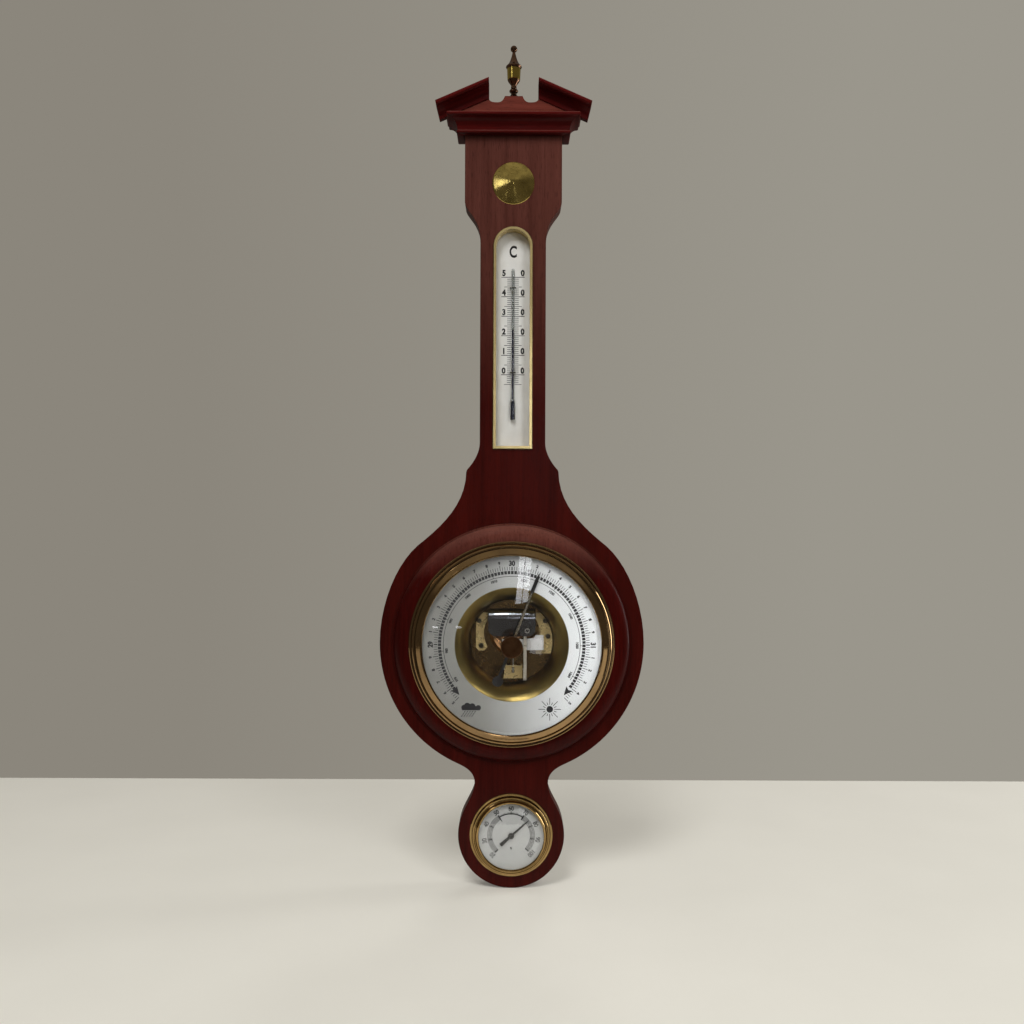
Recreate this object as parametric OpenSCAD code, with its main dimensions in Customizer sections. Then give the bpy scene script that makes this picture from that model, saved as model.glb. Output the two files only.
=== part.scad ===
// Banjo-shaped ship's barometer with a thermometer and a hygrometer, to hang on a wall.
// Millimetres. The wall is the plane y = 0, the dials look along -Y and +Z is up.
// The origin is the eye that the instrument hangs from.

/* [Wooden case] */
// Thickness of the back board
board_t = 20; // [18:0.5:26]
// Width across the head of the board
head_w = 80; // [74:1:92]
// Height of the head's top above the hanging eye
head_top = 35; // [30:1:40]
// Height of the square head block
head_h = 69.6; // [64:0.2:76]
// Width of the straight neck
neck_w = 54; // [48:1:62]
// Diameter of the round body
body_d = 217.6; // [210:0.4:236]
// Width of the waist above the foot
waist_w = 60.4; // [54:0.4:66]
// Diameter of the round foot
foot_d = 87.4; // [85:0.2:96]
// Drop from the eye to the centre of the barometer
barometer_drop = 398; // [392:1:410]
// Distance from the centre of the barometer down to that of the hygrometer
hygrometer_drop = 158; // [154:1:166]
// Width of the turned ring outside the barometer's bezel
surround_w = 14.5; // [11:0.25:17]
// Height of the turned ring above the board
surround_t = 8; // [6:0.5:11]

/* [Pediment] */
// Height of the horizontal cornice
cornice_h = 15; // [12:0.5:18]
// Projection of the cornice at its top
cornice_out = 14.4; // [12:0.2:17]
// Projection of the cornice at its foot
cornice_in = 6.4; // [5:0.2:8]
// Slope of the raking mouldings in degrees
rake_slope = 23.5; // [20:0.5:27]
// Vertical thickness of the raking mouldings
rake_h = 13.4; // [11:0.2:15]
// Half the gap between the two raking mouldings
rake_gap = 20.3; // [18:0.1:23]
// Half the width over the raking mouldings
rake_reach = 64; // [60:1:70]
// Projection of the raking mouldings from the board
rake_out = 12; // [10:0.5:13]
// Depth of the raking mouldings' backs in front of the wall
rake_back = 15; // [10:0.5:17]
// Lean of the raking mouldings' outer ends in degrees
rake_lean = 14; // [0:1:20]
// Height of the centre plinth above the cornice
plinth_h = 17.8; // [14:0.2:20]
// Width of the centre plinth
plinth_w = 14.6; // [13:0.2:17]

/* [Finial and rosette] */
// Diameter of the bright drum
drum_d = 11.4; // [10:0.2:13]
// Height of the bright drum
drum_h = 9.4; // [8:0.2:12]
// Height of the turned base and cup
finial_base_h = 17.2; // [16:0.2:20]
// Height of the spire with its collar and ball
spire_h = 19.3; // [17:0.1:23]
// Diameter of the threaded stud
stud_d = 2.6; // [2:0.1:3.2]
// Diameter of the spun rosette
rosette_d = 35; // [30:0.5:40]
// Rise of the spun rosette
rosette_rise = 5.5; // [4:0.5:8]
// Distance from the head's top down to the centre of the rosette
rosette_drop = 54; // [48:1:60]

/* [Hanger] */
// Diameter of the hanging eye
eye_d = 9; // [8:0.5:11]
// Length of the hanger plate
hanger_l = 45; // [42:1:52]
// Height of the hanger plate
hanger_h = 16; // [14:1:20]
// Thickness of the hanger plate
hanger_t = 1.2; // [1:0.1:1.8]
// Depth of the pocket behind the eye
eye_pocket = 10; // [7:0.5:11]

/* [Thermometer] */
// Outer width of the brass frame
frame_w = 32.2; // [30:0.2:36]
// Outer height of the brass frame
frame_h = 183; // [176:1:190]
// Distance from the head's top down to the top of the frame
frame_drop_h = 90; // [86:1:96]
// Width of the frame's face
frame_face = 2.3; // [2:0.1:3]
// Height of the frame's bead above the board
frame_rise = 2; // [1.5:0.1:3]
// Depth of the scale plate below the face of the board
plate_sink = 8.5; // [7:0.5:10]
// Thickness of the scale plate
plate_t = 1.2; // [1:0.1:2]
// Diameter of the glass tube
tube_d = 3; // [2.6:0.1:3.4]
// Diameter of the bulb
bulb_d = 4.6; // [4.2:0.1:5.2]
// Length of the bulb
bulb_l = 15.5; // [14:0.5:18]
// Length of the whole tube with its bulb
tube_l = 125.7; // [118:0.1:130]
// Distance from the foot of the frame up to the foot of the bulb
bulb_rise = 24.3; // [20:0.1:30]
// Height of the spirit above the foot of the bulb
spirit_h = 74.7; // [40:0.1:100]

/* [Barometer] */
// Outer diameter of the brass bezel
bezel_d = 168; // [166:1:174]
// Height of the bezel above the turned ring
bezel_h = 8.2; // [7.5:0.1:10]
// Outer diameter of the case behind the dial
can_d = 152; // [148:0.5:153]
// Wall of the case
can_t = 0.8; // [0.6:0.1:1.2]
// Diameter of the opening in the dial
opening_d = 93; // [88:0.5:98]
// Thickness of the dial
dial_t = 1; // [0.8:0.1:1.4]
// Thickness of the glass
glass_t = 1.6; // [1.2:0.1:2]
// Rise of the domed glass
glass_rise = 5; // [4:0.5:7]
// Diameter at the foot of the gilt cup
cup_foot_d = 69; // [66:0.5:74]
// Length of the pointer from its centre
pointer_l = 62.4; // [56:0.2:66]
// Length of the pointer's tail
pointer_tail = 36; // [28:0.5:38]
// Length of the set hand
set_hand_l = 46; // [42:0.5:60]
// Diameter of the set hand's knob
knob_d = 17.6; // [14:0.2:22]
// Height of the set hand's knob above the glass
knob_h = 8.6; // [7:0.2:11]
// Angle of both hands at rest, clockwise from the top
reading = 20.9; // [0:0.1:40]

/* [Movement] */
// Diameter of the aneroid capsule
capsule_d = 36.4; // [32:0.2:36.8]
// Height of the capsule's centre above the pointer's axis
capsule_up = 7; // [6:0.2:8]
// Width of the leaf spring
spring_w = 39; // [36:0.5:42]
// Thickness of the leaf spring
spring_t = 1; // [0.8:0.1:1.2]
// Thickness of the movement's base plate
base_t = 1.6; // [1.2:0.1:2]
// Thickness of the wing plate
wing_t = 1.2; // [1:0.1:1.6]
// Diameter of the pointer arbor
arbor_d = 1; // [0.8:0.1:1.2]
// Diameter of the drum that the chain winds on
chain_drum_d = 1.8; // [1.6:0.1:2.4]
// Length of the rocker's pull arm
pull_arm = 13; // [12:0.2:14]
// Length of the rocker's drive arm
drive_arm = 7; // [6.4:0.2:7.6]

/* [Hygrometer] */
// Outer diameter of the hygrometer's bezel
hygro_bezel_d = 68.2; // [66:0.2:74]
// Height of the hygrometer's bezel above the board
hygro_bezel_h = 6.4; // [6:0.1:8]
// Outer diameter of the hygrometer's case
hygro_can_d = 59.2; // [56:0.2:60]
// Length of the hygrometer's hand
hygro_hand_l = 19.7; // [17:0.1:23]
// Length of the hand's tail
hygro_tail_l = 11.5; // [9:0.1:14]
// Angle of the hand at rest, clockwise from the top
hygro_reading = 48.7; // [0:0.1:80]

/* [Hidden] */
$fn = 96;
// Clearances: round fits, running fits, and free space round a loose piece.
fit = 0.05;
run_fit = 0.05;
free = 0.3;
cut = 1;

head_half = head_w / 2;
neck_half = neck_w / 2;
body_r = body_d / 2;
foot_r = foot_d / 2;
waist_half = waist_w / 2;
baro_z = -barometer_drop;
hygro_z = baro_z - hygrometer_drop;
board_mid = board_t / 2;

// Heights along the board's edge.
head_low = head_top - head_h;
head_blend_h = 33.4;
neck_top = head_low - head_blend_h;
shoulder_over_body_h = 56.2;
shoulder_top = baro_z + body_r + shoulder_over_body_h;
shoulder_out = 10.5;
shoulder_h = 22.4;
waist_z = hygro_z + foot_r - 1.2;
body_leave_a = -65.6;
foot_join_a = 20.6;

// Barometer depths, counted forwards from the wall.
can_back = 1;
can_plate = 1;
surround_face = board_t + surround_t;
can_rim = surround_face + 2.2;
dial_face = can_rim;
dial_back = dial_face - dial_t;
bezel_face = surround_face + bezel_h;
glass_seat = bezel_face - 1.6;
glass_back = glass_seat - glass_t;
can_r = can_d / 2;
dial_r = can_r - can_t - 0.2;
bezel_r = bezel_d / 2;
bezel_bore = can_r + fit;
glass_r = can_r - 0.8;
lip_r = can_r - 3.4;
glass_sphere = (glass_r * glass_r + glass_rise * glass_rise) / (2 * glass_rise);
glass_top = glass_seat + glass_rise;
glass_inner_top = glass_top - glass_t;

// Movement depths.
base_back = can_back + can_plate;
base_face = base_back + base_t;
wing_back = base_face + 4.4;
wing_face = wing_back + wing_t;
capsule_mid = base_face + 5.9;
capsule_half_t = 3.5;
spring_back = base_face + 13.5;
spring_face = spring_back + spring_t;
spring_low = 5.5;
spring_bend_r = (spring_face - base_face) / 2;
spring_bend_z = 20;
lever_t = 1;
lever_gap = 0.4;
lever_face = spring_back - lever_gap;
lever_back = lever_face - lever_t;
lever_x = 11;
lever_w = 2.6;
lever_top = 12;
rocker_z = -23;
rocker_d = base_face + 5.4;
rocker_r = 0.8;
arm_t = 0.8;
lever_low = rocker_z - drive_arm - 1.2;
bracket_x0 = -6.7;
bracket_x1 = 9;
bracket_low = -30;
bracket_top = -19.4;
cheek_t = 1.5;
bracket_face_t = 1.5;
bracket_face = rocker_d + 4.6;
chain_r = 0.25;
chain_x = chain_drum_d / 2 + chain_r + 0.02;
pull_pin_r = 0.5;
pull_tip = rocker_d + pull_arm;
cock_back = capsule_mid + capsule_half_t + 0.7;
cock_t = 1.2;
cock_upper = pull_tip + 3.4;
hairspring_d = pull_tip + 1.6;
hairspring_in = 1.2;
cock_foot_x0 = 23.3;
cock_foot_x1 = 26.4;
cock_post_x = 6.6;
pointer_t = 0.4;
pointer_back = dial_face + 1.4;
pointer_face = pointer_back + pointer_t;
arbor_r = arbor_d / 2;
set_hand_t = 0.4;
set_hand_back = pointer_face + 1.6;
spindle_r = 0.8;
bush_flange = 0.8;
knob_foot = glass_top + bush_flange + 0.2;

// Hygrometer depths.
hygro_can_r = hygro_can_d / 2;
hygro_can_rim = board_t + 1.2;
hygro_dial_t = 0.8;
hygro_dial_r = hygro_can_r - can_t - 0.2;
hygro_bezel_face = board_t + hygro_bezel_h;
hygro_glass_t = 1.4;
hygro_crown_h = 2;
hygro_glass_seat = hygro_bezel_face - 1;
hygro_glass_r = hygro_can_r - 1.2;
hygro_lip_r = hygro_can_r - 2.8;
hygro_glass_sphere = (hygro_glass_r * hygro_glass_r + hygro_crown_h * hygro_crown_h)
    / (2 * hygro_crown_h);
hygro_hand_back = hygro_can_rim + 1.1;
hygro_hand_t = 0.3;
hygro_bridge_d = can_back + can_plate + 8;
hygro_coil_d = hygro_bridge_d + 2.4;

// Thermometer places.
frame_top = head_top - frame_drop_h;
frame_low = frame_top - frame_h;
frame_half = frame_w / 2;
skirt_half = frame_half - frame_face;
skirt_t = 0.8;
pocket_gap = 0.2;
plate_face = board_t - plate_sink;
plate_back = plate_face - plate_t;
bulb_low = frame_low + bulb_rise;
tube_axis = plate_face + bulb_d / 2 + 0.05;
tube_r = tube_d / 2;
bulb_r = bulb_d / 2;
tube_bore = 0.85;
bulb_wall = 0.5;
staple_r = 0.35;
staple_half = tube_r + 0.7;
staple_at = [39.4, 109.7];

// Back fastenings.
strap_t = can_back;
strap_w = 8;
strap_in = 6;
strap_out = 10;
strap_screw_at = 5.5;
barometer_clamps = [90, 210, 330];
hygrometer_clamps = [0, 180];
screw_r = 1.1;
screw_head_r = 2.2;
screw_l = 8;
eye_margin = 2.5;
nail_play = 5;
hanger_screw_at = hanger_l / 2 - 5.5;
hanger_screw_r = 1.6;
hanger_head_r = 3;
dowel_r = 3;
dowel_x = 25;
dowel_down = 14;
dowel_up = 9;
stud_down = 8;
stud_up = 4.6;
pin_r = 1;
pin_depth = 12;

// Turns a front view into place: x right, y up, z forwards from the wall.
module front() {
    rotate([90, 0, 0]) children();
}

// Places a front view at the barometer's or the hygrometer's centre.
module at_barometer() {
    front() translate([0, baro_z, 0]) children();
}

module at_hygrometer() {
    front() translate([0, hygro_z, 0]) children();
}

// A cylinder between two depths.
module disc(r, from, to) {
    translate([0, 0, from]) cylinder(r = r, h = to - from);
}

module ring(r_out, r_in, from, to) {
    difference() {
        disc(r_out, from, to);
        disc(r_in, from - cut, to + cut);
    }
}

// A flat outline between two depths.
module plate(from, to) {
    translate([0, 0, from]) linear_extrude(to - from) children();
}

// A bar along x with its axis at height up and depth fwd.
module rod_x(r, x0, x1, up, fwd) {
    translate([x0, up, fwd]) rotate([0, 90, 0]) cylinder(r = r, h = x1 - x0);
}

// A moulding that runs along x. Its profile is a list of [forwards, up].
module run(l, profile) {
    rotate([0, 90, 0]) linear_extrude(l) polygon([for (p = profile) [-p[0], p[1]]]);
}

// Points of a smooth bend from a to d that leaves towards b and arrives from c.
function bend(a, b, c, d, n = 10) = [
    for (i = [1:n]) let (t = i / n, s = 1 - t)
        s * s * s * a + 3 * s * s * t * b + 3 * s * t * t * c + t * t * t * d
];

function arc(c, r, a0, a1, n) = [
    for (i = [0:n]) let (a = a0 + (a1 - a0) * i / n) c + r * [cos(a), sin(a)]
];

// An arc with its own radius each way, for ovolos and coves.
function oval(c, rx, ry, a0, a1, n) = [
    for (i = [0:n]) let (a = a0 + (a1 - a0) * i / n) c + [rx * cos(a), ry * sin(a)]
];

function backwards(points) = [for (i = [len(points) - 1:-1:0]) points[i]];
function flip(points) = [for (i = [len(points) - 1:-1:0]) [-points[i][0], points[i][1]]];

// Right half of the board's edge, from the top to the foot.
function board_edge() =
    let (
        body = [0, baro_z],
        foot = [0, hygro_z],
        corner = [neck_half + shoulder_out, shoulder_top - shoulder_h],
        flank_top = corner + [0.5, -1.6],
        flank = body + body_r * [0.717, 0.735],
        leave = body + body_r * [cos(body_leave_a), sin(body_leave_a)],
        join = foot + foot_r * [cos(foot_join_a), sin(foot_join_a)]
    )
    concat(
        [[0, head_top], [head_half, head_top], [head_half, head_low]],
        bend([head_half, head_low], [head_half, head_low - 8.4], [neck_half, neck_top + 21.5],
            [neck_half, neck_top]),
        [[neck_half, shoulder_top]],
        bend([neck_half, shoulder_top], [neck_half, shoulder_top - 9], corner + [-4.5, 4.9], corner),
        [flank_top],
        bend(flank_top, flank_top + [0.6, -26], flank + [-22, 17.5], flank),
        bend(flank, flank + [17, -15], body + body_r * [1, 0.3], body + [body_r, 0]),
        arc(body, body_r, -3, body_leave_a, 24),
        bend(leave, leave + 8.5 * [sin(body_leave_a), -cos(body_leave_a)],
            [waist_half, waist_z + 9], [waist_half, waist_z]),
        bend([waist_half, waist_z], [waist_half, waist_z - 9.5],
            join - 10.6 * [sin(foot_join_a), -cos(foot_join_a)], join),
        arc(foot, foot_r, foot_join_a - 4, -90, 30)
    );

module board_outline() {
    edge = board_edge();
    polygon(concat(edge, flip([for (i = [1:len(edge) - 2]) edge[i]])));
}

// Tall outline with a round top, as wide as 2 * half, from low to high.
module arched(half, low, high) {
    translate([-half, low]) square([2 * half, high - half - low]);
    translate([0, high - half]) circle(r = half);
}

module back_board() {
    color([0.33, 0.12, 0.10]) difference() {
        front() plate(0, board_t) board_outline();
        at_barometer() disc(can_r + 0.5, -cut, board_t + cut);
        at_hygrometer() disc(hygro_can_r + 0.4, -cut, board_t + cut);
        front() plate(plate_back, board_t + cut) arched(skirt_half + skirt_t + pocket_gap,
            frame_low + frame_face - skirt_t - pocket_gap, frame_top - frame_face + skirt_t + pocket_gap);
        front() hanger_recess();
        at_barometer() clamp_recesses(can_r, barometer_clamps);
        at_hygrometer() clamp_recesses(hygro_can_r, hygrometer_clamps);
        dowels(dowel_r + fit, 0.5);
        front() translate([0, head_top - rosette_drop, 0])
            disc(pin_r + fit, board_t - pin_depth - 0.5, board_t + cut);
    }
}

// The recess for the hanger plate, with the pocket for the nail's head and the screw holes.
module hanger_recess() {
    plate(-cut, hanger_t) hanger_outline(0.2);
    plate(0, hanger_t + eye_pocket) nail_pocket();
    for (x = [-hanger_screw_at, hanger_screw_at])
        translate([x, 0, 0]) disc(hanger_screw_r + fit, 0, hanger_t + screw_l + 0.5);
}

// The pocket is longer than it is wide, so that the nail's head can slide up as the row drops on it.
module nail_pocket() {
    reach = eye_d / 2 + eye_margin;
    square([2 * reach, nail_play], center = true);
    for (y = [-nail_play / 2, nail_play / 2]) translate([0, y]) circle(r = reach);
}

module hanger_outline(extra) {
    half = hanger_l / 2 - hanger_h / 2;
    square([2 * half, hanger_h + 2 * extra], center = true);
    for (x = [-half, half]) translate([x, 0]) circle(r = hanger_h / 2 + extra);
}

module hanger_plate() {
    color([0.70, 0.56, 0.28]) front() difference() {
        plate(0, hanger_t) hanger_outline(0);
        disc(eye_d / 2, -cut, hanger_t + cut);
        for (x = [-hanger_screw_at, hanger_screw_at]) translate([x, 0, 0])
            countersink(hanger_head_r, hanger_screw_r, hanger_t, fit);
    }
}

// The hole for a countersunk head that is flush with the back.
module countersink(head, shank, t, extra) {
    disc(shank + extra, -cut, t + cut);
    cylinder(r1 = head + extra, r2 = shank + extra, h = t - 0.2);
    disc(head + extra, -cut, 0.001);
}

// A countersunk wood screw driven forwards from the back, with a slot in its head.
module wood_screw(head, shank, t, l) {
    difference() {
        union() {
            cylinder(r1 = head, r2 = shank, h = t - 0.2);
            disc(shank, t - 0.3, t + l - 2);
            translate([0, 0, t + l - 2]) cylinder(r1 = shank, r2 = 0.2, h = 2);
        }
        translate([-head - cut, -0.3, -cut]) cube([2 * head + 2 * cut, 0.6, cut + 0.5]);
    }
}

module hanger_screws() {
    color([0.62, 0.60, 0.56]) front() for (x = [-hanger_screw_at, hanger_screw_at])
        translate([x, 0, 0]) wood_screw(hanger_head_r, hanger_screw_r, hanger_t, screw_l);
}

// Straps let into the back of the board that hold each case in its bore.
module clamp_outline(extra) {
    hull_l = strap_in + strap_out - strap_w;
    translate([-strap_in + strap_w / 2, -strap_w / 2 - extra])
        square([hull_l, strap_w + 2 * extra]);
    for (x = [-strap_in + strap_w / 2, strap_out - strap_w / 2])
        translate([x, 0]) circle(r = strap_w / 2 + extra);
}

module clamp_recesses(r, angles) {
    for (a = angles) rotate([0, 0, a]) translate([r, 0, 0]) {
        plate(-cut, strap_t) clamp_outline(0.2);
        translate([strap_screw_at, 0, 0]) disc(screw_r + fit, 0, strap_t + screw_l + 0.5);
    }
}

module straps(r, angles) {
    for (a = angles) rotate([0, 0, a]) translate([r, 0, 0]) difference() {
        plate(0, strap_t) clamp_outline(0);
        translate([strap_screw_at, 0, 0]) countersink(screw_head_r, screw_r, strap_t, fit);
    }
}

module strap_screws(r, angles) {
    for (a = angles) rotate([0, 0, a]) translate([r + strap_screw_at, 0, 0])
        wood_screw(screw_head_r, screw_r, strap_t, screw_l);
}

module case_straps() {
    color([0.72, 0.58, 0.30]) {
        at_barometer() straps(can_r, barometer_clamps);
        at_hygrometer() straps(hygro_can_r, hygrometer_clamps);
    }
}

module strap_screw_set() {
    color([0.62, 0.60, 0.56]) {
        at_barometer() strap_screws(can_r, barometer_clamps);
        at_hygrometer() strap_screws(hygro_can_r, hygrometer_clamps);
    }
}

// Turned ring: a flat seat for the bezel, an ovolo and a small step at the outer edge.
module dial_surround() {
    outer = bezel_r + surround_w;
    seat = bezel_r + 1;
    step_h = 1.3;
    round_out = outer - 1.5 - seat;
    color([0.36, 0.15, 0.12]) at_barometer() rotate_extrude() polygon(concat(
        [[can_r + 0.5, board_t], [outer, board_t], [outer, board_t + step_h],
            [outer - 1.5, board_t + step_h]],
        oval([seat, board_t + step_h], round_out, surround_t - step_h, 6, 90, 14),
        [[can_r + 0.5, surround_face]]));
}

// Cornice profile as [projection, height]: a foot bead, a cove and a top bead.
function cornice_profile() = concat(
    [[0, 0], [cornice_in - 0.4, 0], [cornice_in + 0.3, 0.7], [cornice_in + 0.3, 1.8],
        [cornice_in - 0.4, 2.5]],
    [for (p = oval([cornice_out - 1.6, 2.5], cornice_out - cornice_in - 1.2, cornice_h - 5.6,
        180, 90, 12)) p],
    [[cornice_out - 0.7, cornice_h - 3], [cornice_out, cornice_h - 2.3],
        [cornice_out, cornice_h - 0.7], [cornice_out - 0.7, cornice_h], [0, cornice_h]]);

module cornice_moulding() {
    half = head_half + cornice_out;
    reach = cornice_out + cut;
    color([0.36, 0.10, 0.09]) front() intersection() {
        translate([-half - cut, head_top - cornice_h, board_t])
            run(2 * half + 2 * cut, cornice_profile());
        rotate([-90, 0, 0]) translate([0, 0, head_top - cornice_h - cut])
            linear_extrude(cornice_h + 2 * cut) polygon([[-head_half, -board_t], [head_half, -board_t],
                [head_half + reach, -board_t - reach], [-head_half - reach, -board_t - reach]]);
    }
}

// Right-hand mitred return of the cornice; the left one is its mirror.
module cornice_return() {
    reach = cornice_out + cut;
    color([0.36, 0.10, 0.09]) intersection() {
        translate([head_half, 0, head_top - cornice_h]) rotate([90, 0, 0])
            linear_extrude(board_t + reach) polygon(cornice_profile());
        translate([0, 0, head_top - cornice_h - cut]) linear_extrude(cornice_h + 2 * cut)
            polygon([[head_half, 0], [head_half + reach, 0],
                [head_half + reach, -board_t - reach], [head_half, -board_t]]);
    }
}

module cornice_return_right() {
    cornice_return();
}

module cornice_return_left() {
    mirror([1, 0, 0]) cornice_return();
}

// Height of the raking moulding's underside at a distance from the middle.
rake_foot = head_top + 15.3;
rake_top = rake_foot + rake_h / cos(rake_slope) + 2;
function rake_under(x) = rake_foot - (x - rake_gap) * tan(rake_slope);

// Raking moulding profile as [forwards, up], square to the slope.
function rake_profile() =
    let (h = rake_h * cos(rake_slope), face = board_t + rake_out)
    concat(
        [[rake_back, 0], [board_t + 1, 0], [board_t + 1, 1.4]],
        oval([face - 1.4, 1.4], rake_out - 2.4, h - 5.2, 180, 90, 12),
        [[face - 0.8, h - 3.2], [face, h - 2.4], [face, h - 0.6], [face - 0.6, h],
            [rake_back, h]]);

// The blank runs past both ends; its inner end is cut plumb and its outer end leans.
module raking_moulding() {
    spare = 20;
    end_low = rake_under(rake_reach) - 2;
    end_high = rake_under(rake_reach) + rake_h;
    color([0.36, 0.09, 0.09]) front() intersection() {
        translate([rake_gap, rake_foot, 0]) rotate([0, 0, -rake_slope])
            translate([-spare, 0, 0])
                run((rake_reach - rake_gap) / cos(rake_slope) + 2 * spare, rake_profile());
        plate(0, board_t + rake_out + cut) polygon([[rake_gap, end_low],
            [rake_reach - (end_high - end_low) * tan(rake_lean), end_low],
            [rake_reach, end_high], [rake_reach, rake_top], [rake_gap, rake_top]]);
    }
}

module raking_moulding_right() {
    raking_moulding();
}

module raking_moulding_left() {
    mirror([1, 0, 0]) raking_moulding();
}

// Half of the pediment board's edge: plinth, hollow shoulder, round notch, raking edge.
function pediment_edge() =
    let (
        plinth = plinth_w / 2,
        notch = [plinth + 6, head_top + plinth_h - 5.2],
        wall = [rake_gap, rake_under(rake_gap)],
        toe = rake_gap + (rake_foot - head_top) / tan(rake_slope)
    )
    concat(
        [[0, head_top + plinth_h], [plinth, head_top + plinth_h]],
        bend([plinth, head_top + plinth_h], [plinth + 0.8, head_top + plinth_h - 1.9],
            notch + [-4.2, 0], notch, 8),
        bend(notch, notch + [3, 0], wall + [-0.6, -2.6], wall, 8),
        [[toe, head_top]]);

module pediment_board() {
    edge = pediment_edge();
    color([0.38, 0.14, 0.11]) difference() {
        front() plate(0, board_t)
            polygon(concat(edge, flip([for (i = [1:len(edge) - 1]) edge[i]])));
        dowels(dowel_r + fit, 0.5);
        translate([0, -board_mid, head_top + plinth_h - stud_down - 0.5])
            cylinder(r = stud_d / 2 + fit, h = stud_down + 0.5 + cut);
    }
}

module dowels(r, extra) {
    for (x = [-dowel_x, dowel_x]) translate([x, -board_mid, head_top - dowel_down - extra])
        cylinder(r = r, h = dowel_down + dowel_up + 2 * extra, $fn = 48);
}

module pediment_dowels() {
    color([0.76, 0.60, 0.40]) dowels(dowel_r, 0);
}

// Finial pieces stand on the plinth, in line with the middle of the board.
plinth_top = head_top + plinth_h;
drum_low = plinth_top + finial_base_h;
drum_top = drum_low + drum_h;
drum_r = drum_d / 2;

module on_plinth(z) {
    translate([0, -board_mid, z]) children();
}

module finial_base() {
    cup_low = finial_base_h - 4.9;
    foot_top = cup_low - 5.7;
    bore = stud_d / 2 + fit;
    color([0.52, 0.36, 0.20]) on_plinth(plinth_top) rotate_extrude() polygon(concat(
        [[bore, 0], [4.6, 0], [4.9, 0.5], [4.9, 1.6], [4.5, 2.3]],
        bend([4.5, 2.3], [3.6, 3.4], [2.2, 4.6], [2, foot_top], 8),
        [[3.1, foot_top + 0.2], [3.65, foot_top + 1], [3.65, foot_top + 1.7],
            [3.1, foot_top + 2.5], [2, foot_top + 2.7]],
        bend([2, foot_top + 2.7], [2.5, foot_top + 3.5], [2.5, cup_low - 0.8],
            [2.1, cup_low], 8),
        bend([2.1, cup_low], [2.9, cup_low + 1.8], [4.3, cup_low + 2.6],
            [drum_r - 0.6, finial_base_h - 0.4], 8),
        [[drum_r - 0.6, finial_base_h], [bore, finial_base_h]]));
}

module finial_drum() {
    color([0.86, 0.68, 0.30]) on_plinth(drum_low) rotate_extrude() polygon([
        [stud_d / 2 + fit, 0], [drum_r - 0.7, 0], [drum_r - 0.4, 0.3], [drum_r, drum_h - 0.3],
        [drum_r - 0.3, drum_h], [stud_d / 2 + fit, drum_h]]);
}

// Spire: a thin brim over the drum, a hollow cone and a ball.
module finial_spire() {
    brim_r = drum_r + 0.95;
    ball_r = 2.8;
    ball_z = spire_h - ball_r;
    neck_r = 1.1;
    neck_z = ball_z - sqrt(ball_r * ball_r - neck_r * neck_r);
    hole_h = stud_up + 0.4;
    bore = stud_d / 2 + fit;
    color([0.50, 0.30, 0.18]) on_plinth(drum_top) rotate_extrude() polygon(concat(
        [[bore, 0], [drum_r + 0.1, 0], [brim_r - 0.2, 0.9], [brim_r, 1.4], [brim_r - 0.2, 1.9],
            [drum_r - 0.1, 2.8]],
        bend([drum_r - 0.1, 2.8], [3.5, 4.6], [2.2, 8.6], [neck_r, neck_z], 12),
        [for (p = arc([0, ball_z], ball_r, -67, 88, 20)) p],
        [[0, spire_h], [0, hole_h], [bore, hole_h]]));
}

module finial_stud() {
    l = stud_down + finial_base_h + drum_h + stud_up;
    color([0.70, 0.68, 0.64]) on_plinth(plinth_top - stud_down) cylinder(r = stud_d / 2, h = l);
}

// Spun brass dome on the head, with the pin soldered inside it.
rosette_t = 0.6;
rosette_brim = rosette_d / 2 - 1.2;
tip_r = 4.5;
tip_drop = 0.95;
rosette_fall = (rosette_rise - tip_drop - 0.75) / (rosette_brim - tip_r);

// Rounded tip of the rosette's cone, from its axis out to where the straight flank starts.
function rosette_tip(top) = concat([[0, top]],
    bend([0, top], [1.8, top], [3, top - 0.35], [tip_r, top - tip_drop], 8));

module rosette() {
    color([0.74, 0.60, 0.28]) front() translate([0, head_top - rosette_drop, board_t])
        rotate_extrude() polygon(concat(
            rosette_tip(rosette_rise),
            [[rosette_brim, 0.75], [rosette_brim + 0.9, 0.35], [rosette_brim + 1.2, 0]],
            [[tip_r + (rosette_rise - tip_drop - rosette_t) / rosette_fall, 0]],
            backwards(rosette_tip(rosette_rise - rosette_t))));
}

module rosette_pin() {
    color([0.62, 0.52, 0.30]) front() translate([0, head_top - rosette_drop, 0])
        disc(pin_r, board_t - pin_depth, board_t + rosette_rise - rosette_t - 0.1);
}

// Brass frame: a beaded face on the board and a skirt that reaches down to the plate.
module thermometer_frame() {
    bead_t = frame_rise * 0.55;
    color([0.80, 0.66, 0.34]) front() difference() {
        union() {
            plate(board_t, board_t + bead_t) arched(frame_half, frame_low, frame_top);
            plate(board_t + bead_t, board_t + frame_rise)
                arched(frame_half - 0.4, frame_low + 0.4, frame_top - 0.4);
            plate(plate_face, board_t) arched(skirt_half + skirt_t, frame_low + frame_face - skirt_t,
                frame_top - frame_face + skirt_t);
        }
        plate(plate_face - cut, board_t + frame_rise + cut)
            arched(skirt_half, frame_low + frame_face, frame_top - frame_face);
    }
}

module thermometer_plate() {
    extra = skirt_t;
    color([0.93, 0.93, 0.91]) front() difference() {
        plate(plate_back, plate_face) arched(skirt_half + extra, frame_low + frame_face - extra,
            frame_top - frame_face + extra);
        staple_legs(staple_r + fit);
    }
}

module staple_legs(r) {
    for (up = staple_at, side = [-1, 1])
        translate([side * staple_half, bulb_low + up, 0])
            disc(r, plate_back + 0.1, tube_axis, $fn = 32);
}

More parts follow.
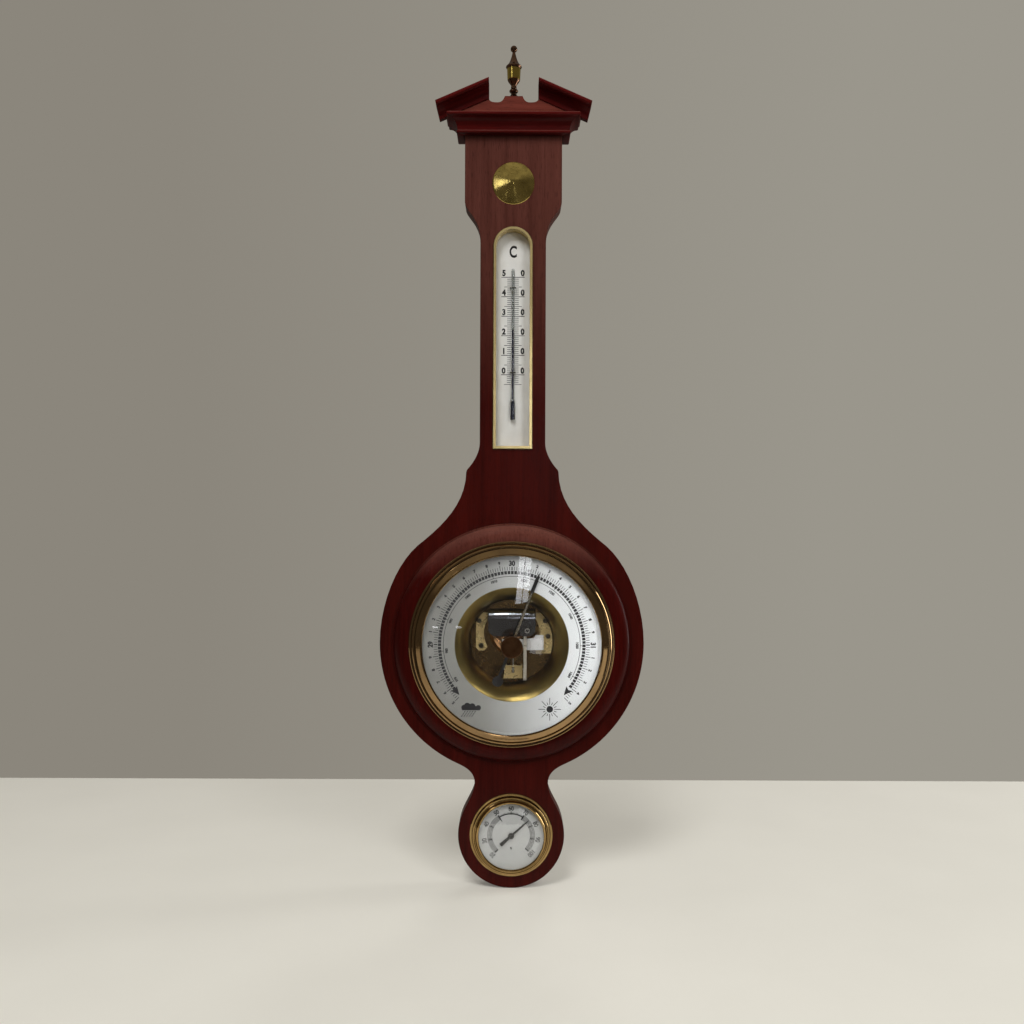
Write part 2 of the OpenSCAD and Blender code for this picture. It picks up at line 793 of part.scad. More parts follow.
module tube_staples() {
    bridge = tube_axis + tube_r + staple_r + 0.02;
    color([0.66, 0.66, 0.66]) front() {
        for (up = staple_at) {
            for (side = [-1, 1]) translate([side * staple_half, bulb_low + up, 0])
                disc(staple_r, plate_back + 0.1, bridge, $fn = 32);
            rod_x(staple_r, -staple_half, staple_half, bulb_low + up, bridge);
            for (side = [-1, 1]) translate([side * staple_half, bulb_low + up, bridge])
                sphere(r = staple_r, $fn = 32);
        }
    }
}

// Half profile of the tube, from the foot of the bulb to the sealed top.
function tube_outer() = concat(
    [[0, 0], [bulb_r - 0.8, 0.15], [bulb_r - 0.1, 0.8], [bulb_r, 1.6], [bulb_r, bulb_l - 0.4]],
    bend([bulb_r, bulb_l - 0.4], [bulb_r, bulb_l + 1.6], [tube_r, bulb_l + 1.6],
        [tube_r, bulb_l + 4.4], 8),
    [[tube_r, tube_l - tube_r]],
    arc([0, tube_l - tube_r], tube_r, 10, 88, 8), [[0, tube_l]]);

module thermometer_tube() {
    inner_r = bulb_r - bulb_wall;
    color([0.80, 0.88, 0.90, 0.5]) front() translate([0, bulb_low, tube_axis]) rotate([-90, 0, 0])
        difference() {
            rotate_extrude() polygon(tube_outer());
            translate([0, 0, 0.8]) cylinder(r = inner_r, h = bulb_l - 1.6);
            translate([0, 0, bulb_l - 0.9]) cylinder(r1 = inner_r, r2 = tube_bore, h = 2.6);
            translate([0, 0, bulb_l]) cylinder(r = tube_bore, h = tube_l - bulb_l - 2);
        }
}

module thermometer_spirit() {
    inner_r = bulb_r - bulb_wall - 0.02;
    bore = tube_bore - 0.02;
    color([0.12, 0.13, 0.30]) front() translate([0, bulb_low, tube_axis]) rotate([-90, 0, 0])
        rotate_extrude() polygon([[0, 0.82], [inner_r, 0.82], [inner_r, bulb_l - 0.94],
            [bore, bulb_l + 1.62], [bore, spirit_h], [0, spirit_h]]);
}

// Section of a stepped bezel: flange, grooves, ridge, dished slope and rolled lip.
function bezel_section(outer, bore, wall, lip, foot, rim, seat, lip_seat, face) =
    let (ridge = outer - 0.34 * (outer - lip) - 0.6, h = face - foot)
    concat(
        [[bore, foot], [outer, foot], [outer, foot + 0.8], [outer - 0.5, foot + 1.2],
            [outer - 1.6, foot + 1.2], [outer - 1.7, foot + 0.95], [outer - 2, foot + 0.95],
            [outer - 2.1, foot + 1.3]],
        oval([ridge + 0.3, foot + 1.3], outer - 2.4 - ridge, 0.6 * h - 1.3, 10, 90, 6),
        [[ridge - 0.3, foot + 0.6 * h], [ridge - 0.7, foot + 0.6 * h - 0.5],
            [ridge - 1, foot + 0.6 * h - 0.5], [ridge - 1.2, foot + 0.6 * h]],
        bend([ridge - 1.2, foot + 0.6 * h], [ridge - 2, foot + 0.6 * h],
            [lip + 2.2, face - 0.1], [lip + 1.2, face], 6),
        [[lip + 0.5, face - 0.15], [lip, face - 0.7], [lip, lip_seat], [wall, seat], [wall, rim],
            [bore, rim]]);

// Depth of the lip's underside where the domed glass has risen from its edge to the lip.
function lip_seat(seat, r_glass, r_lip, sphere) =
    seat + (r_glass * r_glass - r_lip * r_lip) / (2 * sphere) + 0.02;

module barometer_bezel() {
    color([0.80, 0.65, 0.34]) at_barometer() rotate_extrude($fn = 180)
        polygon(bezel_section(bezel_r, bezel_bore, glass_r + fit, lip_r, surround_face,
            can_rim + 0.02, glass_seat, lip_seat(glass_seat, glass_r, lip_r, glass_sphere),
            bezel_face));
}

// Domed glass: both faces are parts of spheres that share a centre.
function dome(r_edge, sphere, seat, rise, t, r_hole, n = 16) =
    let (
        c = seat + rise - sphere,
        outer = [for (i = [0:n]) let (r = r_hole + (r_edge - r_hole) * i / n)
            [r, c + sqrt(sphere * sphere - r * r)]],
        inner = [for (i = [n:-1:0]) let (r = r_hole + (r_edge - r_hole) * i / n)
            [r, c + sqrt(sphere * sphere - r * r) - t]]
    )
    concat(outer, inner);

module barometer_glass() {
    color([0.75, 0.85, 0.88, 0.35]) at_barometer() rotate_extrude($fn = 180)
        polygon(dome(glass_r, glass_sphere, glass_seat, glass_rise, glass_t, spindle_r + 0.75));
}

module glass_ring() {
    wire = 0.5;
    color([0.70, 0.66, 0.58]) at_barometer() rotate_extrude($fn = 180)
        translate([glass_r - wire - 0.05, glass_back - wire - 0.02]) circle(r = wire, $fn = 32);
}

// Bush in the middle of the glass that the set hand's spindle turns in.
module glass_bush() {
    barrel = spindle_r + 0.7;
    color([0.62, 0.48, 0.26]) at_barometer() difference() {
        union() {
            disc(barrel, glass_inner_top - 0.9, glass_top + bush_flange);
            disc(3.2, glass_top, glass_top + bush_flange);
            disc(2.8, glass_inner_top - 0.9, glass_inner_top - 0.06);
        }
        disc(spindle_r + run_fit, 0, glass_top + 5);
    }
}

module set_hand_knob() {
    r = knob_d / 2;
    top = glass_top + knob_h;
    color([0.42, 0.27, 0.17]) at_barometer() rotate_extrude() polygon(concat(
        [[0, set_hand_back - 0.2], [spindle_r, set_hand_back - 0.2], [spindle_r, knob_foot],
            [2.6, knob_foot], [2.8, knob_foot + 1.6]],
        bend([2.8, knob_foot + 1.6], [3.2, top - 4], [r - 3.4, top - 3.2], [r - 0.6, top - 2.6], 8),
        [[r, top - 2], [r, top - 1], [r - 0.5, top - 0.4], [r - 1.4, top - 0.2], [0, top]]));
}

// Outline of a hand along +Y: half widths at given distances from the centre.
function hand_outline(stations) = concat(
    [for (s = stations) [s[1], s[0]]],
    [for (i = [len(stations) - 1:-1:0]) [-stations[i][1], stations[i][0]]]);

module set_hand() {
    hub_r = 2.2;
    color([0.80, 0.66, 0.36]) at_barometer() rotate([0, 0, -reading]) difference() {
        union() {
            disc(hub_r, set_hand_back, set_hand_back + 1.8);
            plate(set_hand_back, set_hand_back + set_hand_t) polygon(hand_outline([
                [0, 1.1], [set_hand_l * 0.7, 0.75], [set_hand_l - 3, 0.5], [set_hand_l, 0.1]]));
            plate(set_hand_back, set_hand_back + set_hand_t) polygon(hand_outline([
                [-9, 0.9], [-7.5, 1.2], [0, 1.1]]));
        }
        disc(spindle_r + 0.02, set_hand_back - cut, set_hand_back + 3);
    }
}

// Springy washer between the set hand's hub and the bush, which gives the hand its drag.
module drag_washer() {
    color([0.66, 0.62, 0.54]) at_barometer() ring(2.3, spindle_r + 0.1, set_hand_back + 1.85,
        glass_inner_top - 0.95);
}

module barometer_dial() {
    color([0.94, 0.94, 0.92]) at_barometer()
        ring(dial_r, opening_d / 2, dial_back, dial_face, $fn = 180);
}

cup_foot_r = cup_foot_d / 2;

// Wall of the cup in section: steep at its foot, opening like a trumpet towards the dial.
function cup_wall(r_low, r_high, low, high) =
    let (w = r_high - r_low, h = high - low)
    concat([[r_low, low]], bend([r_low, low], [r_low + 0.03 * w, low + 0.63 * h],
        [r_high - 0.53 * w, high - 0.13 * h], [r_high, high], 16));

// Gilt cup that closes the space between the dial's opening and the movement.
module dial_cup() {
    r1 = opening_d / 2 - 0.2;
    t = 0.8;
    foot = base_face + 0.6;
    color([0.62, 0.50, 0.22]) at_barometer() rotate_extrude($fn = 180) polygon(concat(
        [[cup_foot_r, base_face], [cup_foot_r + 2.2, base_face], [cup_foot_r + 2.2, foot]],
        cup_wall(cup_foot_r + t, r1 + t, foot, dial_back - t),
        [[r1 + 2.4, dial_back - t], [r1 + 2.4, dial_back]],
        backwards(cup_wall(cup_foot_r, r1, foot, dial_back))));
}

// Pressed case with a ledge for the dial and a hole for the adjusting screw.
module barometer_can() {
    inner = can_r - can_t;
    ledge = 2;
    color([0.66, 0.55, 0.32]) at_barometer() difference() {
        rotate_extrude($fn = 180) polygon([[0, can_back], [can_r, can_back], [can_r, can_rim],
            [inner, can_rim], [inner, dial_back], [inner - ledge, dial_back],
            [inner - ledge, dial_back - 0.8], [inner, dial_back - 0.8], [inner, base_back],
            [0, base_back]]);
        translate([0, capsule_up, 0]) disc(3, 0, base_back + cut);
    }
}

base_r = 44;

module base_plate() {
    color([0.42, 0.32, 0.16]) at_barometer() difference() {
        disc(base_r, base_back, base_face);
        translate([0, capsule_up, 0]) disc(1.5 + run_fit, base_back - cut, base_face + cut);
        for (p = pillar_at) translate([p[0], p[1], 0]) disc(0.8 + fit, base_back - cut, base_face + cut);
    }
}

// The two wings stand on pillars on both sides of the capsule, inside the gilt cup's foot.
wing_r = cup_foot_r - 0.6;
wing_top = 24;
wing_hollow_r = capsule_d / 2 + 5;
pillar_at = [[-27.2, 17.2], [27.8, 17.2], [-25.4, -3.4], [30.2, 4.6]];

module wing_plate() {
    color([0.74, 0.64, 0.36]) at_barometer() difference() {
        plate(wing_back, wing_face) difference() {
            intersection() {
                circle(r = wing_r);
                union() {
                    polygon([[-29.8, -5], [-27.6, -7.6], [-23, -7.6], [-20.4, -5],
                        [-20.2, wing_top], [-28.4, wing_top], [-29.8, wing_top - 1.6]]);
                    polygon([[20.2, -10], [wing_r, -10], [wing_r, wing_top - 9],
                        [28, wing_top], [20.2, wing_top]]);
                }
            }
            translate([0, capsule_up]) circle(r = wing_hollow_r);
        }
        for (p = pillar_at) translate([p[0], p[1], 0]) disc(0.8 + fit, wing_back - cut, wing_face + cut);
    }
}

module plate_pillars() {
    color([0.70, 0.58, 0.30]) at_barometer() for (p = pillar_at) translate([p[0], p[1], 0]) {
        disc(1.8, base_face, wing_back);
        disc(0.8, base_back + 0.05, wing_face + 0.2);
    }
}

// Slotted heads on the pillars' ends and on the rocker bracket's feet.
module movement_screws() {
    color([0.76, 0.72, 0.62]) at_barometer() for (p = pillar_at) translate([p[0], p[1], 0])
        difference() {
            disc(1.9, wing_face, wing_face + 1.1);
            disc(0.8 + fit, wing_face - cut, wing_face + 0.3);
            translate([-3, -0.25, wing_face + 0.7]) cube([6, 0.5, cut]);
        }
}

// Sealed capsule: two corrugated halves joined at the rim.
function capsule_half(side) =
    let (r = capsule_d / 2, rise = [2.6, 3.5, 2.9, 3.5, 2.9, 3.5, 3.5],
        at = [0.86, 0.76, 0.64, 0.52, 0.40, 0.28, 0])
    [for (i = [0:len(at) - 1]) [r * at[i], capsule_mid + side * rise[i]]];

module capsule() {
    r = capsule_d / 2;
    lower = capsule_half(-1);
    upper = capsule_half(1);
    color([0.66, 0.50, 0.30]) at_barometer() translate([0, capsule_up, 0]) rotate_extrude()
        polygon(concat([for (i = [len(lower) - 1:-1:0]) lower[i]],
            [[r, capsule_mid - 0.4], [r, capsule_mid + 0.4]], upper));
}

// Stud under the capsule and the one on top that pulls on the leaf spring.
module capsule_studs() {
    color([0.70, 0.60, 0.36]) at_barometer() translate([0, capsule_up, 0]) {
        disc(2.5, capsule_mid - capsule_half_t - 1.2, capsule_mid - capsule_half_t);
        disc(1.3, capsule_mid + capsule_half_t, spring_back);
    }
}

// Bent leaf spring: a foot on the base plate, a half-round bend and a leaf over the capsule.
module main_spring() {
    r_out = spring_bend_r;
    mid = base_face + r_out;
    foot_low = 13.4;
    color([0.40, 0.40, 0.43]) at_barometer() union() {
        translate([-spring_w / 2, 0, 0]) run(spring_w, concat(
            [[base_face, foot_low], [base_face, spring_bend_z]],
            [for (i = [0:20]) let (a = 180 - 180 * i / 20)
                [mid + r_out * cos(a), spring_bend_z + r_out * sin(a)]],
            [[spring_face, spring_low + 6], [spring_back, spring_low + 6]],
            [for (i = [0:20]) let (a = 180 * i / 20)
                [mid + (r_out - spring_t) * cos(a), spring_bend_z + (r_out - spring_t) * sin(a)]],
            [[base_face + spring_t, foot_low]]));
        plate(spring_back, spring_face) {
            translate([-spring_w / 2 + 6, spring_low]) square([spring_w - 12, 6.001]);
            for (side = [-1, 1]) intersection() {
                translate([side * (spring_w / 2 - 6), spring_low + 6]) circle(r = 6);
                translate([side * (spring_w / 2 - 4) - 4, spring_low]) square([8, 6.001]);
            }
        }
    }
}

// Screws that hold the foot of the spring, and the ringed rivet on its leaf.
module spring_screws() {
    color([0.78, 0.78, 0.78]) at_barometer() {
        for (x = [-12, 12]) translate([x, 16.6, 0])
            disc(1.6, base_face + spring_t, base_face + spring_t + 1);
        translate([12.7, 10.1, 0]) ring(2.2, 1, spring_face, spring_face + 0.8);
    }
}

// Main lever: it hangs from the free end of the spring and reaches down to the link.
module main_lever() {
    color([0.86, 0.85, 0.82]) at_barometer() difference() {
        plate(lever_back, lever_face) translate([lever_x - lever_w / 2, lever_low])
            square([lever_w, lever_top - lever_low]);
        translate([lever_x, rocker_z - drive_arm, 0]) disc(0.4, lever_back - cut, lever_face + cut);
    }
}

module link_rod() {
    color([0.80, 0.78, 0.72]) at_barometer() translate([lever_x, rocker_z - drive_arm, 0]) {
        disc(0.38, rocker_d - 1.4, lever_face + 0.4);
        disc(0.8, lever_face, lever_face + 0.4);
    }
}

// Rocker: a cross shaft, a drive arm that the link moves and a pull arm for the chain.
module rocker_shaft() {
    arm_half = 1.4;
    slot_w = 1.5;
    slot_h = 2.8;
    color([0.74, 0.72, 0.68]) at_barometer() difference() {
        union() {
            rod_x(rocker_r, bracket_x0 - 0.4, lever_x + arm_half, rocker_z, rocker_d);
            plate(rocker_d - arm_t / 2, rocker_d + arm_t / 2)
                translate([lever_x - arm_half, rocker_z - drive_arm - slot_h / 2 - 0.8])
                    square([2 * arm_half, drive_arm + slot_h / 2 + 0.8]);
            translate([chain_x, rocker_z, 0]) disc(pull_pin_r, rocker_d, pull_tip + 0.6);
        }
        translate([lever_x - slot_w / 2, rocker_z - drive_arm - slot_h / 2, rocker_d - arm_t])
            cube([slot_w, slot_h, 2 * arm_t]);
    }
}

// Brass block with two cheeks that carry the shaft and a window for the pull arm.
module rocker_bracket() {
    slope = 1.2;
    color([0.78, 0.68, 0.38]) at_barometer() difference() {
        union() {
            for (x = [bracket_x0 + slope, bracket_x1 - cheek_t])
                translate([x, bracket_low, base_face])
                    cube([cheek_t, bracket_top - bracket_low, bracket_face - base_face]);
            plate(bracket_face - bracket_face_t, bracket_face) polygon([
                [bracket_x0, bracket_low], [bracket_x1, bracket_low], [bracket_x1, bracket_top],
                [bracket_x0 + slope, bracket_top]]);
        }
        rod_x(rocker_r + run_fit, bracket_x0 - cut, bracket_x1 + cut, rocker_z, rocker_d);
        translate([chain_x - 1.1, rocker_z - 2.4, bracket_face - 5]) cube([2.2, 4.8, 8]);
    }
}

module chain() {
    l = -rocker_z - pull_pin_r - 0.03;
    color([0.70, 0.66, 0.58]) at_barometer() translate([chain_x, 0, pull_tip])
        rotate([90, 0, 0]) cylinder(r = chain_r, h = l, $fn = 24);
}

// Arbor with the drum for the chain; the pointer's hub sits on its front end.
module pointer_arbor() {
    color([0.78, 0.76, 0.72]) at_barometer() {
        disc(arbor_r, cock_back + 0.1, pointer_face + 0.6);
        disc(chain_drum_d / 2, pull_tip - 1, pull_tip + 1);
        disc(hairspring_in - 0.15, hairspring_d, hairspring_d + 0.7);
    }
}

// Hairspring: a flat spiral between the arbor's collet and a stud on the cock.
module hairspring() {
    turns = 3.5;
    r0 = hairspring_in;
    r1 = cock_post_x - 1.35;
    t = 0.12;
    n = 84;
    color([0.46, 0.46, 0.52]) at_barometer() plate(hairspring_d, hairspring_d + 0.6) polygon(concat(
        [for (i = [0:n]) let (a = 360 * turns * i / n, r = r0 + (r1 - r0) * i / n)
            (r + t) * [cos(a), sin(a)]],
        [for (i = [n:-1:0]) let (a = 360 * turns * i / n, r = r0 + (r1 - r0) * i / n)
            (r - t) * [cos(a), sin(a)]]));
}

// Cock: an arm from its foot on the wing plate, and an upper bridge on two posts.
module arbor_cock() {
    color([0.80, 0.72, 0.46]) at_barometer() difference() {
        union() {
            plate(wing_face, cock_back) translate([cock_foot_x0, -5])
                square([cock_foot_x1 - cock_foot_x0, 10]);
            plate(cock_back, cock_back + cock_t) polygon([[-cock_post_x - 1.4, -4], [9, -4],
                [12.4, -6.4], [cock_foot_x1, -6.4], [cock_foot_x1, 6.1], [19.6, 6.1],
                [18.4, 3.4], [12, 3], [8, 2.6], [-cock_post_x - 1.4, 2.6]]);
            for (x = [-cock_post_x, cock_post_x]) translate([x, -0.4, 0])
                disc(0.9, cock_back, cock_upper + 0.5);
            plate(cock_upper, cock_upper + 1) translate([-cock_post_x - 1.4, -2.4])
                square([2 * cock_post_x + 2.8, 4]);
        }
        disc(arbor_r + run_fit, cock_back - cut, cock_upper + 3);
    }
}

module pointer() {
    hub_r = 2.4;
    spade = 44;
    counter_r = 4.4;
    color([0.20, 0.21, 0.23]) at_barometer() rotate([0, 0, -reading]) difference() {
        union() {
            disc(hub_r, pointer_back - 1, pointer_face + 0.4);
            plate(pointer_back, pointer_face) {
                polygon(hand_outline([[0, 1.2], [spade, 0.9], [spade + 2, 1.5],
                    [pointer_l - 6, 1.45], [pointer_l, 0.1]]));
                polygon(hand_outline([[-pointer_tail + counter_r, 1.3], [0, 1.2]]));
                translate([0, -pointer_tail + counter_r]) circle(r = counter_r);
            }
        }
        disc(arbor_r + 0.02, 0, pointer_face + 2);
    }
}

// Adjusting screw, turned from the back through the hole in the case.
module adjusting_screw() {
    color([0.74, 0.66, 0.42]) at_barometer() translate([0, capsule_up, 0]) difference() {
        union() {
            disc(2.4, can_back + 0.1, base_back - 0.05);
            disc(1.5, base_back - 0.05, capsule_mid - capsule_half_t - 1.25);
        }
        translate([-3, -0.3, 0]) cube([6, 0.6, can_back + 0.6]);
    }
}

module hygrometer_bezel() {
    color([0.80, 0.65, 0.34]) at_hygrometer() rotate_extrude() polygon(bezel_section(
        hygro_bezel_d / 2, hygro_can_r + fit, hygro_glass_r + fit, hygro_lip_r, board_t,
        hygro_can_rim + 0.02, hygro_glass_seat,
        lip_seat(hygro_glass_seat, hygro_glass_r, hygro_lip_r, hygro_glass_sphere), hygro_bezel_face));
}

module hygrometer_glass() {
    color([0.75, 0.85, 0.88, 0.35]) at_hygrometer() rotate_extrude()
        polygon(dome(hygro_glass_r, hygro_glass_sphere, hygro_glass_seat, hygro_crown_h,
            hygro_glass_t, 0));
}

module hygrometer_dial() {
    color([0.94, 0.94, 0.92]) at_hygrometer()
        ring(hygro_dial_r, arbor_r + 0.3, hygro_can_rim - hygro_dial_t, hygro_can_rim);
}

module hygrometer_hand() {
    color([0.10, 0.10, 0.11]) at_hygrometer() rotate([0, 0, -hygro_reading]) difference() {
        union() {
            disc(2.5, hygro_hand_back - 0.3, hygro_hand_back + 0.7);
            plate(hygro_hand_back, hygro_hand_back + hygro_hand_t) polygon(hand_outline([
                [-hygro_tail_l, 1.5], [-hygro_tail_l + 4, 1.3], [0, 0.9],
                [hygro_hand_l - 6, 0.7], [hygro_hand_l, 0.1]]));
        }
        disc(arbor_r + 0.02, 0, hygro_hand_back + 2);
    }
}

module hygrometer_arbor() {
    color([0.74, 0.72, 0.66]) at_hygrometer() {
        disc(arbor_r, hygro_bridge_d + 0.2, hygro_hand_back + 0.9);
        disc(1.4, hygro_coil_d - 0.6, hygro_coil_d + 3.6);
    }
}

// Flat coil that winds and unwinds with damp, from the arbor out to the stud.
module hygrometer_coil() {
    turns = 5.0;
    r0 = 1.75;
    r1 = 9;
    t = 0.2;
    n = 100;
    color([0.56, 0.46, 0.30]) at_hygrometer() plate(hygro_coil_d, hygro_coil_d + 3) polygon(concat(
        [for (i = [0:n]) let (a = 360 * turns * i / n, r = r0 + (r1 - r0) * i / n)
            (r + t) * [cos(a), sin(a)]],
        [for (i = [n:-1:0]) let (a = 360 * turns * i / n, r = r0 + (r1 - r0) * i / n)
            (r - t) * [cos(a), sin(a)]]));
}

// Bridge across the case with the arbor's bearing and the stud for the coil's outer end.
module coil_bridge() {
    leg_x = 15;
    color([0.68, 0.56, 0.30]) at_hygrometer() difference() {
        union() {
            plate(hygro_bridge_d, hygro_bridge_d + 1) translate([-leg_x - 2, -3])
                square([2 * leg_x + 4, 6]);
            for (x = [-leg_x, leg_x]) translate([x, 0, 0])
                disc(1.6, can_back + can_plate, hygro_bridge_d);
            translate([10.2, 0, 0]) disc(0.95, hygro_bridge_d, hygro_coil_d + 3.4);
        }
        disc(arbor_r + run_fit, 0, hygro_bridge_d + 3);
    }
}

module hygrometer_can() {
    inner = hygro_can_r - can_t;
    ledge = 1.4;
    vent_ring_r = 0.66 * hygro_can_r;
    vent_r = 2;
    seat = hygro_can_rim - hygro_dial_t;
    color([0.66, 0.55, 0.32]) at_hygrometer() difference() {
        rotate_extrude() polygon([[0, can_back], [hygro_can_r, can_back],
            [hygro_can_r, hygro_can_rim], [inner, hygro_can_rim], [inner, seat],
            [inner - ledge, seat], [inner - ledge, seat - 0.8], [inner, seat - 0.8],
            [inner, can_back + can_plate], [0, can_back + can_plate]]);
        for (a = [45:90:315]) rotate([0, 0, a]) translate([vent_ring_r, 0, 0])
            disc(vent_r, 0, can_back + can_plate + cut, $fn = 48);
    }
}

back_board();
dial_surround();
pediment_board();
pediment_dowels();
cornice_moulding();
cornice_return_left();
cornice_return_right();
raking_moulding_left();
raking_moulding_right();
finial_base();
finial_drum();
finial_spire();
finial_stud();
rosette();
rosette_pin();
hanger_plate();
hanger_screws();
case_straps();
strap_screw_set();
thermometer_frame();
thermometer_plate();
thermometer_tube();
thermometer_spirit();
tube_staples();
barometer_bezel();
barometer_glass();
glass_ring();
glass_bush();
set_hand_knob();
set_hand();
drag_washer();
barometer_dial();
dial_cup();
barometer_can();
base_plate();
wing_plate();
plate_pillars();
movement_screws();
capsule();
capsule_studs();
main_spring();
spring_screws();
main_lever();
link_rod();
rocker_shaft();
rocker_bracket();
chain();
pointer_arbor();
hairspring();
arbor_cock();
pointer();
adjusting_screw();
hygrometer_bezel();
hygrometer_glass();
hygrometer_dial();
hygrometer_hand();
hygrometer_arbor();
hygrometer_coil();
coil_bridge();
hygrometer_can();
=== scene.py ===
# %% [markdown]
# # A ship barometer on a waisted mahogany board
# The solids are already made and packed, one for each physical piece. This lesson dresses them:
# timber with a grain, brass that has been handled, printed dials, clear domed glasses and a
# studio to see them in. Everything is in metres: x to the right, z up, and the front looks to -y.

# %% Load the solids
import math

import bmesh
import bpy
from mathutils import Matrix, Vector


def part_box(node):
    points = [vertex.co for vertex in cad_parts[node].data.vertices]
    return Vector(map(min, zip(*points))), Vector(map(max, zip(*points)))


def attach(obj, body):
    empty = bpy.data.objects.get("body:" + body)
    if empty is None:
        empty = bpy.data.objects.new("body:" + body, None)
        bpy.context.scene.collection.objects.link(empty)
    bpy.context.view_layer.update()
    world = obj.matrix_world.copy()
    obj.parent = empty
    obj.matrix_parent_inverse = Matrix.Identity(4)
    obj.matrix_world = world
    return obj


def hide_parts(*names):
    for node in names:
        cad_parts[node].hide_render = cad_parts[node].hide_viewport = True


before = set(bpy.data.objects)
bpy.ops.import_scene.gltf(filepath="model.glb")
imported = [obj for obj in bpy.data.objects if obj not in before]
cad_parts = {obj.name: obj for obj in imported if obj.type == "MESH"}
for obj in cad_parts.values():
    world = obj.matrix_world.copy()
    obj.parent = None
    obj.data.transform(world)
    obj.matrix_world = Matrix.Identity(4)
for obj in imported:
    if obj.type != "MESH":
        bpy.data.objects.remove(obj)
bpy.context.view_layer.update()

MM = 0.001

# %% [markdown]
# ## Places on the instrument
# Three faces carry print, and each one's centre and height are read from its solid, so the
# print still lands on the plate if the part is made to other sizes.


# %% Read the places of the faces
def middle(node):
    low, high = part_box(node)
    return (low + high) / 2


def front_of(node):
    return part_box(node)[0].y


barometer_at = Vector((0, front_of("barometer_dial"), middle("barometer_dial").z))
hygrometer_at = Vector((0, front_of("hygrometer_dial"), middle("hygrometer_dial").z))
plate_at = Vector((0, front_of("thermometer_plate"), middle("thermometer_plate").z))
board_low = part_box("back_board")[0]
print("barometer:", tuple(barometer_at), "hygrometer:", tuple(hygrometer_at))

# %% [markdown]
# ## The camera
# An instrument like this hangs flat on a wall, and it is looked at squarely from a bit under a
# metre. From so near, the eye sees the undersides of the mouldings above it and the upper
# edges of what is below it. The case hangs a trace out of plumb, so the camera leans a trace.

# %% Set up the camera
scene = bpy.context.scene
scene.view_settings.view_transform = "Standard"
EYE_DISTANCE = 0.824
EYE_HEIGHT = -0.290
EYE_ASIDE = -0.0002
OUT_OF_PLUMB = math.radians(0.21)
lens = bpy.data.cameras.new("camera")
lens.sensor_width = 36
lens.lens = 35.16
camera = bpy.data.objects.new("camera", lens)
scene.collection.objects.link(camera)
camera.matrix_world = (Matrix.Translation((EYE_ASIDE, board_low.y - EYE_DISTANCE, EYE_HEIGHT))
                       @ Matrix.Rotation(math.radians(90), 4, "X")
                       @ Matrix.Rotation(OUT_OF_PLUMB, 4, "Z"))
scene.camera = camera
print("camera at", tuple(camera.location))

# %% [markdown]
# ## Helpers for shader nodes
# A material is a small tree of nodes. `put` adds one node and fills its sockets: a socket given
# as a value is set, and one given as another node's output is wired. A Mix node has a set of
# sockets for each kind of value, and its colours are inputs 6 and 7 and output 2.


# %% Helpers for shader nodes
def fill(tree, socket, value):
    """Sets a socket to a plain value, or wires it to another node's output."""
    if isinstance(value, bpy.types.NodeSocket):
        tree.links.new(value, socket)
    else:
        socket.default_value = value


def put(tree, kind, sockets=None, **settings):
    node = tree.nodes.new("ShaderNode" + kind)
    for key, value in settings.items():
        setattr(node, key, value)
    for key, value in (sockets or {}).items():
        fill(tree, node.inputs[key], value)
    return node


def blend_colours(tree, share, first, second):
    node = put(tree, "Mix", {0: share, 6: first, 7: second}, data_type="RGBA")
    return node.outputs[2]


def sums(tree, way, first, second, third=None):
    """One step of arithmetic, such as "MULTIPLY" or "ADD"."""
    node = put(tree, "Math", {0: first, 1: second}, operation=way)
    if third is not None:
        fill(tree, node.inputs[2], third)
    return node.outputs[0]


def span(tree, value, low, high, out_low=0.0, out_high=1.0):
    """Carries low...high over to out_low...out_high, and stops at both ends."""
    node = put(tree, "MapRange", {0: value, 1: low, 2: high, 3: out_low, 4: out_high})
    return node.outputs[0]


def colour(red, green, blue):
    """A colour written as on a paint card, 0 to 255, turned into linear light."""
    def linear(c):
        c /= 255
        return c / 12.92 if c <= 0.04045 else ((c + 0.055) / 1.055) ** 2.4
    return (linear(red), linear(green), linear(blue), 1.0)


def start_group(name, takes, gives):
    """A node group with named sockets. `takes` and `gives` list (label, kind, first value)."""
    tree = bpy.data.node_groups.new(name, "ShaderNodeTree")
    for label, kind, value in takes:
        socket = tree.interface.new_socket(label, in_out="INPUT", socket_type="NodeSocket" + kind)
        socket.default_value = value
    for label, kind in gives:
        tree.interface.new_socket(label, in_out="OUTPUT", socket_type="NodeSocket" + kind)
    inside = tree.nodes.new("NodeGroupInput").outputs
    return tree, inside, tree.nodes.new("NodeGroupOutput").inputs


def use_group(tree, group, **sockets):
    node = tree.nodes.new("ShaderNodeGroup")
    node.node_tree = group
    for key, value in sockets.items():
        fill(tree, node.inputs[key.replace("_", " ")], value)
    return node.outputs


def start_material(name):
    """An empty material with one Principled shader. Returns the material, its tree and shader."""
    material = bpy.data.materials.new(name)
    material.use_nodes = True
    tree = material.node_tree
    return material, tree, tree.nodes["Principled BSDF"]


# %% [markdown]
# ## Timber
# The case is mahogany, stained and French polished: long soft ribbons of lighter and darker
# wood with fine streaks in it, and short dark pores that all run the same way. Three noises
# give that, each stretched along the grain. The stretch is along z, so a moulding that was cut
# from a board lying down turns its coordinates first. Modelled pores would be far too deep:
# under polish they are a few hundredths of a millimetre, which is work for a bump.

